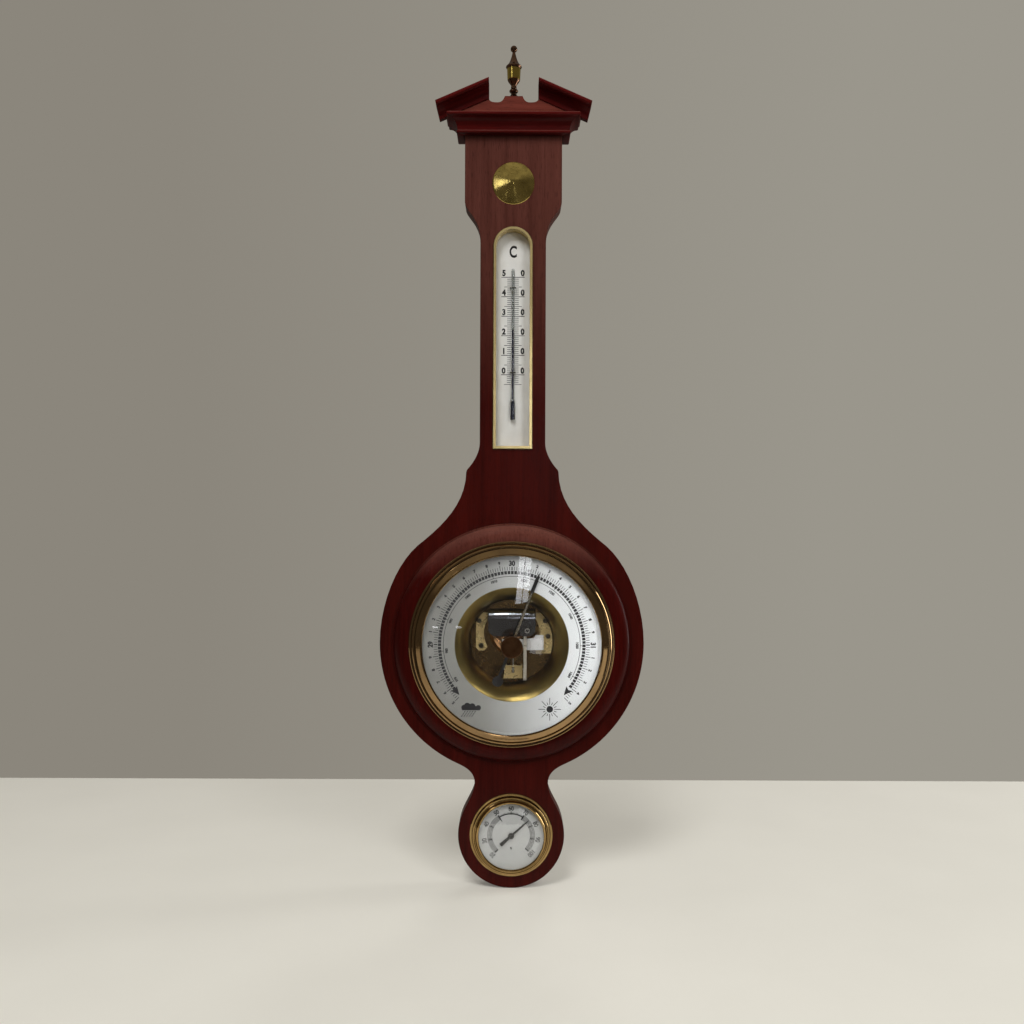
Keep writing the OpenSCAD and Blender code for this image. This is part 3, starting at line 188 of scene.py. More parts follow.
# %% Build the timber group
# Waves in a metre, across the grain and along it
RIBBONS, STREAKS, PORES = (60, 5), (420, 14), (1150, 120)
PORE_BROWN = colour(26, 9, 8)
timber, takes, gives = start_group("timber", [
    ("Pale", "Color", colour(150, 80, 70)), ("Dark", "Color", colour(70, 25, 25)),
    ("Turn", "Vector", (0, 0, 0)), ("Shift", "Vector", (0, 0, 0)), ("Pores", "Float", 0.5)],
    [("Color", "Color"), ("Roughness", "Float"), ("Height", "Float")])
where = put(timber, "TexCoord").outputs["Object"]
turned = put(timber, "VectorRotate", {"Vector": where, "Rotation": takes["Turn"]},
             rotation_type="EULER_XYZ").outputs[0]
moved = put(timber, "VectorMath", {0: turned, 1: takes["Shift"]}, operation="ADD").outputs[0]


def stretched_noise(tree, vector, waves, detail, bend=0.0):
    across, along = waves
    scaled = put(tree, "VectorMath", {0: vector, 1: (across, across, along)}, operation="MULTIPLY")
    return put(tree, "TexNoise", {"Vector": scaled.outputs[0], "Scale": 1.0, "Detail": detail,
                                  "Distortion": bend}).outputs["Fac"]


ribbon = stretched_noise(timber, moved, RIBBONS, 3.0, 0.4)
streak = stretched_noise(timber, moved, STREAKS, 2.0, 0.2)
pore = stretched_noise(timber, moved, PORES, 1.0)
figure_share = sums(timber, "MULTIPLY_ADD", streak, 0.45, sums(timber, "MULTIPLY", ribbon, 0.6))
body = blend_colours(timber, span(timber, figure_share, 0.36, 0.68), takes["Dark"], takes["Pale"])
pore_mask = span(timber, pore, 0.56, 0.68)
pore_share = sums(timber, "MULTIPLY", pore_mask, takes["Pores"])
body = blend_colours(timber, pore_share, body, PORE_BROWN)
timber.links.new(body, gives["Color"])
timber.links.new(span(timber, streak, 0.3, 0.7, 0.34, 0.46), gives["Roughness"])
timber.links.new(sums(timber, "SUBTRACT", sums(timber, "MULTIPLY", streak, 0.4), pore_mask),
                 gives["Height"])
print("timber group:", len(timber.nodes), "nodes")

# %% [markdown]
# ## Grime and painted shade in corners
# Wax, lacquer and soot gather where a cloth can't reach, and shade falls there too. Ambient
# occlusion measures how closed in a point is, so it darkens the corners of any piece and leaves
# its faces clean: partly grime, partly painted shade.

# %% Build the corner group
corner_grime_and_shade, takes, gives = start_group("corner_grime_and_shade", [
    ("Color", "Color", (1, 1, 1, 1)), ("Grime", "Color", colour(30, 18, 12)),
    ("Reach", "Float", 3 * MM), ("Amount", "Float", 0.6)], [("Color", "Color")])
# Corners darken by how closed in they are: grime together with painted shade.
closed = put(corner_grime_and_shade, "AmbientOcclusion", {"Distance": takes["Reach"]}, samples=6).outputs["AO"]
mask = sums(corner_grime_and_shade, "MULTIPLY", span(corner_grime_and_shade, closed, 0.85, 0.3), takes["Amount"])
corner_grime_and_shade.links.new(blend_colours(corner_grime_and_shade, mask, takes["Color"], takes["Grime"]), gives["Color"])
print("corner group:", len(corner_grime_and_shade.nodes), "nodes")

# %% [markdown]
# ## Handled brass
# Old lacquered brass isn't one colour. It goes brown in clouds, and tiny specks show where the
# lacquer broke. One noise makes the clouds, a much finer one the specks, and both make the
# metal rougher where they are. Grain is how many clouds fit in a metre.

# %% Build the brass group
SPECKS_PER_CLOUD = 14.0
tarnish, takes, gives = start_group("tarnish", [
    ("Clean", "Color", colour(220, 190, 120)), ("Dull", "Color", colour(120, 90, 40)),
    ("Cloud", "Float", 0.4), ("Specks", "Float", 0.3), ("Grain", "Float", 90.0),
    ("Roughness", "Float", 0.2)],
    [("Color", "Color"), ("Roughness", "Float"), ("Height", "Float")])
where = put(tarnish, "TexCoord").outputs["Object"]
cloud = put(tarnish, "TexNoise", {"Vector": where, "Scale": takes["Grain"], "Detail": 4.0,
                                  "Roughness": 0.6}).outputs["Fac"]
speck_scale = sums(tarnish, "MULTIPLY", takes["Grain"], SPECKS_PER_CLOUD)
speck = put(tarnish, "TexNoise", {"Vector": where, "Scale": speck_scale, "Detail": 1.0}
            ).outputs["Fac"]
cloud_share = sums(tarnish, "MULTIPLY", span(tarnish, cloud, 0.38, 0.66), takes["Cloud"])
speck_share = sums(tarnish, "MULTIPLY", span(tarnish, speck, 0.62, 0.7), takes["Specks"])
metal = blend_colours(tarnish, cloud_share, takes["Clean"], takes["Dull"])
metal = blend_colours(tarnish, speck_share, metal, takes["Dull"])
tarnish.links.new(metal, gives["Color"])
rough = sums(tarnish, "MULTIPLY_ADD", cloud_share, 0.22, takes["Roughness"])
tarnish.links.new(sums(tarnish, "MULTIPLY_ADD", speck_share, 0.3, rough), gives["Roughness"])
tarnish.links.new(sums(tarnish, "SUBTRACT", 0.0, sums(tarnish, "ADD", speck_share, cloud_share)),
                  gives["Height"])
print("tarnish group:", len(tarnish.nodes), "nodes")

# %% [markdown]
# ## Turning lines
# A bezel is spun and then polished on a lathe, which leaves very fine rings about its centre.
# A noise that runs along the distance from that centre is the height of those rings.

# %% Build the turning group
turning, takes, gives = start_group("turning lines", [
    ("Centre", "Vector", (0, 0, 0)), ("Pitch", "Float", 0.4 * MM)], [("Height", "Float")])
where = put(turning, "TexCoord").outputs["Object"]
arm = put(turning, "VectorMath", {0: where, 1: takes["Centre"]}, operation="SUBTRACT").outputs[0]
flat = put(turning, "VectorMath", {0: arm, 1: (1, 0, 1)}, operation="MULTIPLY").outputs[0]
radius = put(turning, "VectorMath", {0: flat}, operation="LENGTH").outputs["Value"]
rings = sums(turning, "DIVIDE", radius, takes["Pitch"])
uneven = put(turning, "TexNoise", {"W": rings, "Scale": 1.0, "Detail": 2.0},
             noise_dimensions="1D").outputs["Fac"]
turning.links.new(uneven, gives["Height"])
print("turning group:", len(turning.nodes), "nodes")

# %% [markdown]
# ## Finishes
# Each finish puts the groups together on one Principled shader. Numbers that are the same all
# over a surface are set on the shader itself.
#
# Where upper colours are given, the timber turns to them between two heights and is paler
# towards the top; on the turned ring that paler top is a painted sheen. What faces up is lighter
# too: a thin dust together with a painted sheen. The polish is thin and old, so its gloss is a
# weak, slightly rough coat.


# %% Timber finishes
DUST_AND_SHEEN = colour(150, 108, 96)


def polished_timber(name, pale, dark, turn=(0, 0, 0), shift=(0, 0, 0), pores=0.55, coat=0.15,
                    upper_colours=None, heights=(-0.2, -0.1), dust_and_sheen=0.3):
    material, tree, shader = start_material(name)
    # Paler colours towards the top, blended in between two heights; on the turned ring they are a
    # painted sheen.
    if upper_colours is not None:
        height = put(tree, "SeparateXYZ", {0: put(tree, "TexCoord").outputs["Object"]}).outputs[2]
        upper_share = span(tree, height, *heights)
        pale = blend_colours(tree, upper_share, pale, upper_colours[0])
        dark = blend_colours(tree, upper_share, dark, upper_colours[1])
    wood = use_group(tree, timber, Pale=pale, Dark=dark, Turn=turn, Shift=shift, Pores=pores)
    facing = put(tree, "SeparateXYZ", {0: put(tree, "TexCoord").outputs["Normal"]}).outputs[2]
    # Faces that look up turn lighter: a thin dust together with a painted sheen.
    dusty_and_sheened = blend_colours(tree, span(tree, facing, 0.25, 0.95, 0.0, dust_and_sheen), wood["Color"], DUST_AND_SHEEN)
    # Corners darken: grime together with painted shade.
    grimed_and_shaded = use_group(tree, corner_grime_and_shade, Color=dusty_and_sheened, Reach=4 * MM, Amount=0.65)
    tree.links.new(grimed_and_shaded["Color"], shader.inputs["Base Color"])
    tree.links.new(wood["Roughness"], shader.inputs["Roughness"])
    bump = put(tree, "Bump", {"Height": wood["Height"], "Distance": 0.03 * MM, "Strength": 0.7})
    tree.links.new(bump.outputs[0], shader.inputs["Normal"])
    shader.inputs["Specular IOR Level"].default_value = 0.06
    shader.inputs["Coat Weight"].default_value = coat
    shader.inputs["Coat Roughness"].default_value = 0.2
    return material


LYING = (0, math.radians(90), 0)
RAKE = math.radians(23.5)
RED, DEEP_RED = colour(82, 16, 14), colour(54, 8, 7)
board_wood = polished_timber("board mahogany", colour(68, 15, 10), colour(48, 8, 5), coat=0.07,
                             pores=0.3, upper_colours=(colour(90, 50, 42), colour(70, 36, 29)))
pediment_wood = polished_timber("pediment mahogany", colour(110, 52, 42), colour(86, 38, 30),
                                turn=LYING, shift=(0.2, 0.1, 0.3), pores=0.3)
# The ring's paler colours above are a painted sheen on its upper side.
ring_wood = polished_timber("turned ring mahogany", colour(64, 9, 6), colour(46, 6, 4),
                            shift=(0.31, 0.2, 0.1), coat=0.07, pores=0.3, dust_and_sheen=0.15,
                            upper_colours=(colour(106, 60, 50), colour(88, 46, 38)),
                            heights=(-0.345, -0.305))
moulding_wood = polished_timber("moulding mahogany", RED, DEEP_RED, turn=LYING,
                                shift=(0.1, 0.4, 0.2), pores=0.3, coat=0.07)
left_rake_wood = polished_timber("left rake mahogany", RED, DEEP_RED, pores=0.3, coat=0.07,
                                 turn=(0, math.radians(90) + RAKE, 0))
right_rake_wood = polished_timber("right rake mahogany", RED, DEEP_RED, pores=0.3, coat=0.07,
                                  turn=(0, math.radians(90) - RAKE, 0))
beech = polished_timber("bare beech", colour(205, 170, 130), colour(170, 130, 92), coat=0.0)
print("timber finishes made")

# %% [markdown]
# ## Brass, bronze and steel
# A bezel, the cup and the knob were turned, so they also get turning lines
# about their dial's centre. Some small plates are dull with age, and their finish is less
# than fully metallic: a plain share of soft paint-like colour keeps them readable inside the
# dark case. Each is given as its clean and dull colour, the shares of clouds and specks, the
# grain and the roughness.


# %% Metal finishes
def handled_metal(name, clean, dull, cloud, specks, grain, rough, centre=None, pitch=0.4 * MM,
                  grime_and_shade=0.7, depth=0.004 * MM, metallic=1.0):
    material, tree, shader = start_material(name)
    skin = use_group(tree, tarnish, Clean=clean, Dull=dull, Cloud=cloud, Specks=specks,
                     Grain=grain, Roughness=rough)
    # Corners darken: grime and patina, together with painted shade.
    grimed_and_shaded = use_group(tree, corner_grime_and_shade, Color=skin["Color"], Reach=2 * MM, Amount=grime_and_shade)
    height = skin["Height"]
    if centre is not None:
        lines = use_group(tree, turning, Centre=centre, Pitch=pitch)
        height = sums(tree, "MULTIPLY_ADD", lines["Height"], 1.5, height)
    tree.links.new(grimed_and_shaded["Color"], shader.inputs["Base Color"])
    tree.links.new(skin["Roughness"], shader.inputs["Roughness"])
    bump = put(tree, "Bump", {"Height": height, "Distance": depth, "Strength": 0.5})
    tree.links.new(bump.outputs[0], shader.inputs["Normal"])
    shader.inputs["Metallic"].default_value = metallic
    return material


BROWN = colour(96, 72, 34)
bezel_brass = handled_metal("bezel brass", colour(168, 137, 96), colour(100, 76, 52), 0.35, 0.2,
                            40.0, 0.07, tuple(barometer_at), 0.45 * MM)
small_bezel_brass = handled_metal("small bezel brass", colour(178, 148, 98), BROWN, 0.4, 0.2,
                                  60.0, 0.1, tuple(hygrometer_at), 0.4 * MM)
# The frame's corners darken fully: painted shade that draws a dark line inside its bright bead.
frame_brass = handled_metal("frame brass", colour(246, 222, 158), colour(150, 132, 70), 0.2, 0.1,
                            90.0, 0.16, grime_and_shade=1.0, metallic=0.7)
rosette_brass = handled_metal("rosette brass", colour(230, 204, 118), colour(96, 76, 30), 0.5, 0.9,
                              110.0, 0.14, depth=0.006 * MM)
drum_brass = handled_metal("drum brass", colour(232, 204, 104), BROWN, 0.2, 0.1, 160.0, 0.12,
                           depth=0.001 * MM)
finial_bronze = handled_metal("finial bronze", colour(132, 100, 78), colour(70, 48, 34), 0.6, 0.4,
                              160.0, 0.2)
cup_brass = handled_metal("cup brass", colour(142, 123, 72), colour(90, 77, 42), 0.35, 0.05, 30.0,
                          0.28, tuple(barometer_at), 0.6 * MM, depth=0.002 * MM)
base_brass = handled_metal("base plate brass", colour(140, 112, 72), colour(90, 68, 42), 0.5, 0.1,
                           60.0, 0.2, depth=0.002 * MM)
case_brass = handled_metal("case brass", colour(190, 160, 98), BROWN, 0.6, 0.4, 60.0, 0.35)
plate_brass = handled_metal("movement plate brass", colour(206, 182, 128), colour(140, 116, 70),
                            0.35, 0.1, 110.0, 0.25, metallic=0.6, depth=0.001 * MM)
cock_brass = handled_metal("cock plate", colour(216, 214, 212), colour(150, 146, 138), 0.4, 0.1,
                           150.0, 0.12, metallic=0.4, depth=0.001 * MM)
capsule_bronze = handled_metal("capsule bronze", colour(196, 150, 108), colour(96, 60, 38), 0.45,
                               0.3, 90.0, 0.16)
knob_bronze = handled_metal("knob bronze", colour(118, 84, 58), colour(74, 50, 34), 0.6, 0.2,
                            140.0, 0.3, tuple(barometer_at), 0.3 * MM)
hand_brass = handled_metal("set hand brass", colour(200, 190, 168), colour(120, 104, 76), 0.3, 0.2,
                           200.0, 0.2)
spring_steel = handled_metal("spring steel", colour(150, 152, 158), colour(110, 110, 116), 0.35,
                             0.1, 60.0, 0.08, grime_and_shade=0.5, depth=0.001 * MM)
bright_steel = handled_metal("bright steel", colour(206, 198, 184), colour(140, 130, 112), 0.4,
                             0.1, 150.0, 0.25, metallic=0.5, depth=0.001 * MM)
screw_steel = handled_metal("screw steel", colour(96, 90, 80), colour(52, 46, 38), 0.5, 0.4,
                            300.0, 0.3)
rivet_steel = handled_metal("rivet steel", colour(214, 212, 206), colour(130, 120, 104), 0.3, 0.2,
                            300.0, 0.2)
blued_steel = handled_metal("blued steel", colour(70, 78, 110), colour(40, 42, 60), 0.5, 0.2,
                            200.0, 0.2)
print("metal finishes made")

# %% [markdown]
# ## Enamel, print, paint and spirit
# The large dial is silvered, and its sheen goes from grey at the left to nearly white at the
# right. A true mirror of that size would fill with grain under a domed glass, so the finish is
# a soft coat, and the sheen is painted into its colour: grey at the left, nearly white at the
# right. The small dial and the thermometer's plate are enamel: nearly white, a trace uneven.
# Print is matt black ink, the hands are black paint, and the spirit is a dark blue.

# %% Choose where the painted sheen lies on the silvered dial
# The painted sheen runs from grey to nearly white along this direction, between these two places.
SHEEN_ALONG = Vector((1.0, 0.0, 0.06)).normalized()
SHEEN_FROM = SHEEN_ALONG.dot(barometer_at) - 38 * MM
SHEEN_TO = SHEEN_ALONG.dot(barometer_at) + 76 * MM
print("toned from", SHEEN_FROM, "to", SHEEN_TO)

# %% Enamel, print and paint finishes
SOOT_AND_SHADE = colour(70, 66, 60)
FINE_GRAIN = 30


def coated(name, base, uneven, rough, grain=70.0, coat=0.0, grime_and_shade=0.35, painted_sheen=None):
    material, tree, shader = start_material(name)
    where = put(tree, "TexCoord").outputs["Object"]
    cloud = put(tree, "TexNoise", {"Vector": where, "Scale": grain, "Detail": 5.0}).outputs["Fac"]
    fine = put(tree, "TexNoise", {"Vector": where, "Scale": grain * FINE_GRAIN,
                                   "Detail": 1.0}).outputs["Fac"]
    skin = blend_colours(tree, span(tree, cloud, 0.35, 0.7), base, uneven)
    # The painted sheen: the colour turns towards nearly white across the dial.
    if painted_sheen is not None:
        across = put(tree, "VectorMath", {0: where, 1: SHEEN_ALONG}, operation="DOT_PRODUCT")
        share = put(tree, "MapRange", {0: across.outputs["Value"], 1: SHEEN_FROM, 2: SHEEN_TO},
                    interpolation_type="SMOOTHSTEP").outputs[0]
        skin = blend_colours(tree, share, skin, painted_sheen)
    # Corners darken towards soot: soot together with painted shade.
    grimed_and_shaded = use_group(tree, corner_grime_and_shade, Color=skin, Grime=SOOT_AND_SHADE, Reach=2.5 * MM, Amount=grime_and_shade)
    tree.links.new(grimed_and_shaded["Color"], shader.inputs["Base Color"])
    tree.links.new(span(tree, cloud, 0.3, 0.7, rough, rough + 0.1), shader.inputs["Roughness"])
    bump = put(tree, "Bump", {"Height": fine, "Distance": 0.004 * MM, "Strength": 0.4})
    tree.links.new(bump.outputs[0], shader.inputs["Normal"])
    shader.inputs["Coat Weight"].default_value = coat
    return material


# The large dial: a grey coat with a painted sheen towards its right.
silver_with_painted_sheen = coated("silvered dial", colour(134, 133, 129), colour(128, 127, 123), 0.3, coat=0.3,
                    grime_and_shade=0.25, painted_sheen=colour(236, 238, 240))
dial_enamel = coated("dial enamel", colour(170, 170, 168), colour(162, 162, 160), 0.3, coat=0.3)
plate_enamel = coated("scale plate enamel", colour(222, 222, 218), colour(212, 211, 206), 0.3,
                      coat=0.2, grime_and_shade=0.15)
print_ink = coated("print ink", colour(22, 22, 25), colour(32, 32, 36), 0.5, grain=400.0,
                   grime_and_shade=0.0)
hand_paint = coated("hand paint", colour(12, 10, 11), colour(22, 20, 20), 0.4, grain=300.0,
                    coat=0.1)
spirit = coated("blue spirit", colour(28, 30, 52), colour(38, 38, 62), 0.2, grain=200.0,
                grime_and_shade=0.0)
print("coated finishes made")

# %% [markdown]
# ## Glass
# Clear glass bends light, and a lamp's light reaches through it. A path tracer can't find a
# lamp through a bent surface, so for shadow rays alone the glass counts as clear. A domed
# glass is wiped by hand, so faint smears make it rougher here and there. The tube is clean.


# %% Glass finish
SMEARED = 0.97


def clear_glass(name, tint, smears):
    material, tree, shader = start_material(name)
    shader.inputs["Transmission Weight"].default_value = 1.0
    shader.inputs["IOR"].default_value = 1.47
    where = put(tree, "TexCoord").outputs["Object"]
    smear = put(tree, "TexNoise", {"Vector": where, "Scale": 26.0, "Detail": 4.0}).outputs["Fac"]
    share = span(tree, smear, 0.45, 0.75)
    dimmed = tuple(SMEARED * c for c in tint[:3]) + (1,)
    tree.links.new(blend_colours(tree, share, tint, dimmed), shader.inputs["Base Color"])
    shader.inputs["Roughness"].default_value = 0.0
    if smears:
        tree.links.new(sums(tree, "MULTIPLY", share, smears), shader.inputs["Roughness"])
    bump = put(tree, "Bump", {"Height": smear, "Distance": 0.02 * MM, "Strength": 0.1})
    tree.links.new(bump.outputs[0], shader.inputs["Normal"])
    lamps = put(tree, "LightPath").outputs["Is Shadow Ray"]
    through = put(tree, "BsdfTransparent", {"Color": tint})
    pane = put(tree, "MixShader", {0: lamps, 1: shader.outputs[0], 2: through.outputs[0]})
    tree.links.new(pane.outputs[0], tree.nodes["Material Output"].inputs["Surface"])
    return material


dial_glass = clear_glass("dial glass", (0.98, 0.985, 0.98, 1), smears=0.006)
tube_glass = clear_glass("tube glass", (0.66, 0.68, 0.68, 1), smears=0.0)
print("glass finishes made")

# %% [markdown]
# ## Give the solids their finishes
# A solid keeps its own mesh. Only the material in its slots changes.

# %% Finish the solids
FINISHES = {
    bezel_brass: ["barometer_bezel"],
    small_bezel_brass: ["hygrometer_bezel"],
    frame_brass: ["thermometer_frame"],
    rosette_brass: ["rosette"],
    drum_brass: ["finial_drum", "rosette_pin", "glass_bush"],
    finial_bronze: ["finial_base", "finial_spire"],
    cup_brass: ["dial_cup"],
    base_brass: ["base_plate"],
    case_brass: ["barometer_can", "hygrometer_can", "case_straps", "hanger_plate", "coil_bridge",
                 "capsule_studs", "adjusting_screw"],
    plate_brass: ["wing_plate", "rocker_bracket", "plate_pillars"],
    cock_brass: ["arbor_cock", "hygrometer_coil"],
    capsule_bronze: ["capsule"],
    knob_bronze: ["set_hand_knob"],
    hand_brass: ["set_hand"],
    spring_steel: ["main_spring"],
    bright_steel: ["main_lever", "link_rod", "rocker_shaft", "chain", "pointer_arbor",
                   "glass_ring", "drag_washer"],
    screw_steel: ["finial_stud", "hanger_screws", "strap_screw_set", "movement_screws",
                  "tube_staples"],
    rivet_steel: ["spring_screws"],
    blued_steel: ["hairspring"],
    hand_paint: ["pointer", "hygrometer_hand", "hygrometer_arbor"],
    silver_with_painted_sheen: ["barometer_dial"],
    dial_enamel: ["hygrometer_dial"],
    plate_enamel: ["thermometer_plate"],
    spirit: ["thermometer_spirit"],
    dial_glass: ["barometer_glass", "hygrometer_glass"],
    tube_glass: ["thermometer_tube"],
    beech: ["pediment_dowels"],
}


def finish_with(piece, material):
    if not piece.material_slots:
        piece.data.materials.append(material)
    for slot in piece.material_slots:
        slot.material = material


for material, nodes in FINISHES.items():
    for node in nodes:
        finish_with(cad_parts[node], material)
print("solids finished:", sum(len(nodes) for nodes in FINISHES.values()))

# %% [markdown]
# ## Eased arrises
# No sawn edge is left sharp on a polished case: the joiner rounds each arris with paper. The
# solids have them square, so each timber piece is copied, its chosen edges are rounded, and
# the copy stands in for the solid. The mesh comes as triangles, so flat faces are merged
# first, or the rounding would follow the cuts between triangles.


# %% Round the edges of the timber
SAME_POINT = 0.002 * MM
SAME_PLANE, ARRIS, CREASE = math.radians(0.6), math.radians(35), math.radians(32)
WIDE_FACE = 200 * MM * MM


def eased(node, radius, material, chosen, steps=5):
    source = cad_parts[node]
    mesh = bmesh.new()
    mesh.from_mesh(source.data)
    bmesh.ops.remove_doubles(mesh, verts=mesh.verts, dist=SAME_POINT)
    bmesh.ops.dissolve_limit(mesh, angle_limit=SAME_PLANE, verts=mesh.verts, edges=mesh.edges)
    sharp = [e for e in mesh.edges if e.is_manifold and e.calc_face_angle() > ARRIS
             and all(chosen(v.co) for v in e.verts)]
    bmesh.ops.bevel(mesh, geom=sharp, offset=radius, segments=steps, profile=0.5,
                    affect="EDGES", clamp_overlap=True)
    for face in mesh.faces:
        face.smooth = True
    for edge in mesh.edges:
        wide = any(face.calc_area() > WIDE_FACE for face in edge.link_faces)
        bent = not edge.is_manifold or edge.calc_face_angle() > CREASE
        edge.smooth = not (wide or bent)
    bmesh.ops.triangulate(mesh, faces=[f for f in mesh.faces if len(f.verts) > 4])
    data = bpy.data.meshes.new(node + "_eased")
    mesh.to_mesh(data)
    mesh.free()
    piece = bpy.data.objects.new(node + "_eased", data)
    scene.collection.objects.link(piece)
    finish_with(piece, material)
    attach(piece, "case")
    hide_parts(node)
    print(node, "rounded edges:", len(sharp), "faces:", len(data.polygons))


def on_board_edge(point):
    """On the outline of the board's face, and not round its two bores or its slot."""
    flat = Vector((point.x, 0, point.z))
    in_barometer = (flat - Vector((0, 0, barometer_at.z))).length < 80 * MM
    in_hygrometer = (flat - Vector((0, 0, hygrometer_at.z))).length < 35 * MM
    in_slot = abs(point.x) < 20 * MM and abs(point.z - plate_at.z) < 100 * MM
    return point.y < board_low.y + 0.01 * MM and not (in_barometer or in_hygrometer or in_slot)


def anywhere(point):
    return True


def on_front(point):
    return point.y < -0.5 * MM


eased("back_board", 2.0 * MM, board_wood, on_board_edge)
eased("pediment_board", 1.0 * MM, pediment_wood, on_front)
eased("cornice_moulding", 0.35 * MM, moulding_wood, on_front, 2)
eased("cornice_return_left", 0.35 * MM, moulding_wood, anywhere, 2)
eased("cornice_return_right", 0.35 * MM, moulding_wood, anywhere, 2)
eased("raking_moulding_left", 0.4 * MM, left_rake_wood, anywhere, 2)
eased("raking_moulding_right", 0.4 * MM, right_rake_wood, anywhere, 2)

# %% [markdown]
# ## The turned ring
# The ring round the dial came off the lathe already rounded, so it keeps its own mesh.

# %% Finish the ring
finish_with(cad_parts["dial_surround"], ring_wood)
print("ring:", len(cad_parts["dial_surround"].data.polygons), "faces")

# %% [markdown]
# ## Print
# A dial is printed from one plate in one pass, so each dial's print is one piece. It is drawn
# flat, as (right, up) from the dial's centre, then given a skin of ink a few hundredths of a
# millimetre thick. Angles are as on a clock: clockwise from the top. A figure is made bolder
# by pushing its outline outwards, and the notches of a 3 close up first, so any text with a 3
# in it has its own limit.

# %% Drawing tools for print
INK = 0.04 * MM
MEDIUM, BOLD, BOLDEST_THREE = 0.02, 0.05, 0.045


def on_ring(radius, angle):
    turn = math.radians(angle)
    return Vector((radius * math.sin(turn), radius * math.cos(turn)))


def shape(sheet, points):
    """One flat face through the points, which go anticlockwise."""
    sheet.faces.new([sheet.verts.new((p[0], p[1], 0)) for p in points])


def tick(sheet, inner, outer, angle, width):
    start, end = on_ring(inner, angle), on_ring(outer, angle)
    side = (end - start).normalized().orthogonal() * width / 2
    shape(sheet, [start - side, start + side, end + side, end - side])


def arc_strip(sheet, inner, outer, first, last, step=2.0):
    count = max(1, round(abs(last - first) / step))
    angles = [first + (last - first) * i / count for i in range(count + 1)]
    low = [sheet.verts.new((*on_ring(inner, a), 0)) for a in angles]
    high = [sheet.verts.new((*on_ring(outer, a), 0)) for a in angles]
    for i in range(count):
        sheet.faces.new((low[i], low[i + 1], high[i + 1], high[i]))


def figures(sheet, text, height, at, turn, squeeze, weight):
    """Numerals, drawn at `height`, centred on `at` and turned clockwise."""
    font = bpy.data.curves.new("figures", "FONT")
    font.body, font.size, font.align_x, font.align_y = text, 1.0, "CENTER", "BOTTOM_BASELINE"
    font.offset = min(weight, BOLDEST_THREE) if "3" in text else weight
    holder = bpy.data.objects.new("figures", font)
    scene.collection.objects.link(holder)
    drawn = bpy.data.meshes.new_from_object(
        holder.evaluated_get(bpy.context.evaluated_depsgraph_get()))
    ys = [v.co.y for v in drawn.vertices]
    xs = [v.co.x for v in drawn.vertices]
    size = height / (max(ys) - min(ys))
    centre = Vector(((max(xs) + min(xs)) / 2, (max(ys) + min(ys)) / 2, 0))
    angle = math.radians(turn)
    for v in drawn.vertices:
        x, y = ((v.co - centre) * size).xy
        x *= squeeze
        v.co = (at[0] + x * math.cos(angle) + y * math.sin(angle),
                at[1] - x * math.sin(angle) + y * math.cos(angle), 0)
    sheet.from_mesh(drawn)
    bpy.data.objects.remove(holder)
    bpy.data.curves.remove(font)
    bpy.data.meshes.remove(drawn)


def lay_print(sheet, name, at):
    """Gives the flat drawing its skin of ink and lays it on the face at `at`."""
    bmesh.ops.remove_doubles(sheet, verts=sheet.verts, dist=0.0001 * MM)
    skin = bmesh.ops.extrude_face_region(sheet, geom=sheet.faces[:], use_keep_orig=True)
    for part in skin["geom"]:
        if isinstance(part, bmesh.types.BMVert):
            part.co.z += INK
    for v in sheet.verts:
        v.co = (at.x + v.co.x, at.y - v.co.z, at.z + v.co.y)
    bmesh.ops.recalc_face_normals(sheet, faces=sheet.faces)
    data = bpy.data.meshes.new(name)
    sheet.to_mesh(data)
    sheet.free()
    piece = bpy.data.objects.new(name, data)
    scene.collection.objects.link(piece)
    finish_with(piece, print_ink)
    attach(piece, "case")
    print(name, "faces:", len(data.polygons))


# %% [markdown]
# ## The barometer's scale
# The outer scale is in inches of mercury, 28.5 to 31.5 over three quarters of a turn, divided
# to two hundredths. Inside it a band of black and white blocks counts hectopascals, ends in
# an arrowhead at each end, and has a figure at each ten on a thin line. The two scales must
# agree: one inch is 33.864 hectopascals.

# %% Choose the barometer's scale
TOP_INCH, DEGREES_PER_INCH = 30.0, 90.0
FIRST_INCH, LAST_STEP, STEPS_PER_INCH = 28.5, 150, 50
HECTOPASCALS_PER_INCH = 33.864
DEGREES_PER_BLOCK = DEGREES_PER_INCH / HECTOPASCALS_PER_INCH
TICK_FOOT, LOW_TICK, HIGH_TICK = 60.5 * MM, 63.4 * MM, 64.8 * MM
WHOLE_WIDTH, TENTH_WIDTH, FINE_WIDTH = 0.9 * MM, 0.5 * MM, 0.42 * MM
BAND_INNER, BAND_OUTER, BAND_FIRST, BAND_LAST = 57.4 * MM, 60.0 * MM, -128, 127
BLACK_HALF = 0.39 * DEGREES_PER_BLOCK
ARROW_TIP, ARROW_BARB, ARROW_NOTCH = 134.0, 127.0, 1.4
ARROW_INNER, ARROW_MIDDLE, ARROW_OUTER = 55.7 * MM, 58.9 * MM, 62.2 * MM
THIN_LINE = (55.4 * MM, 55.8 * MM)


def at_inches(inches):
    return (inches - TOP_INCH) * DEGREES_PER_INCH


def at_pressure(hectopascals):
    return at_inches(hectopascals / HECTOPASCALS_PER_INCH)


print("1000 hectopascals at", at_pressure(1000), "degrees")

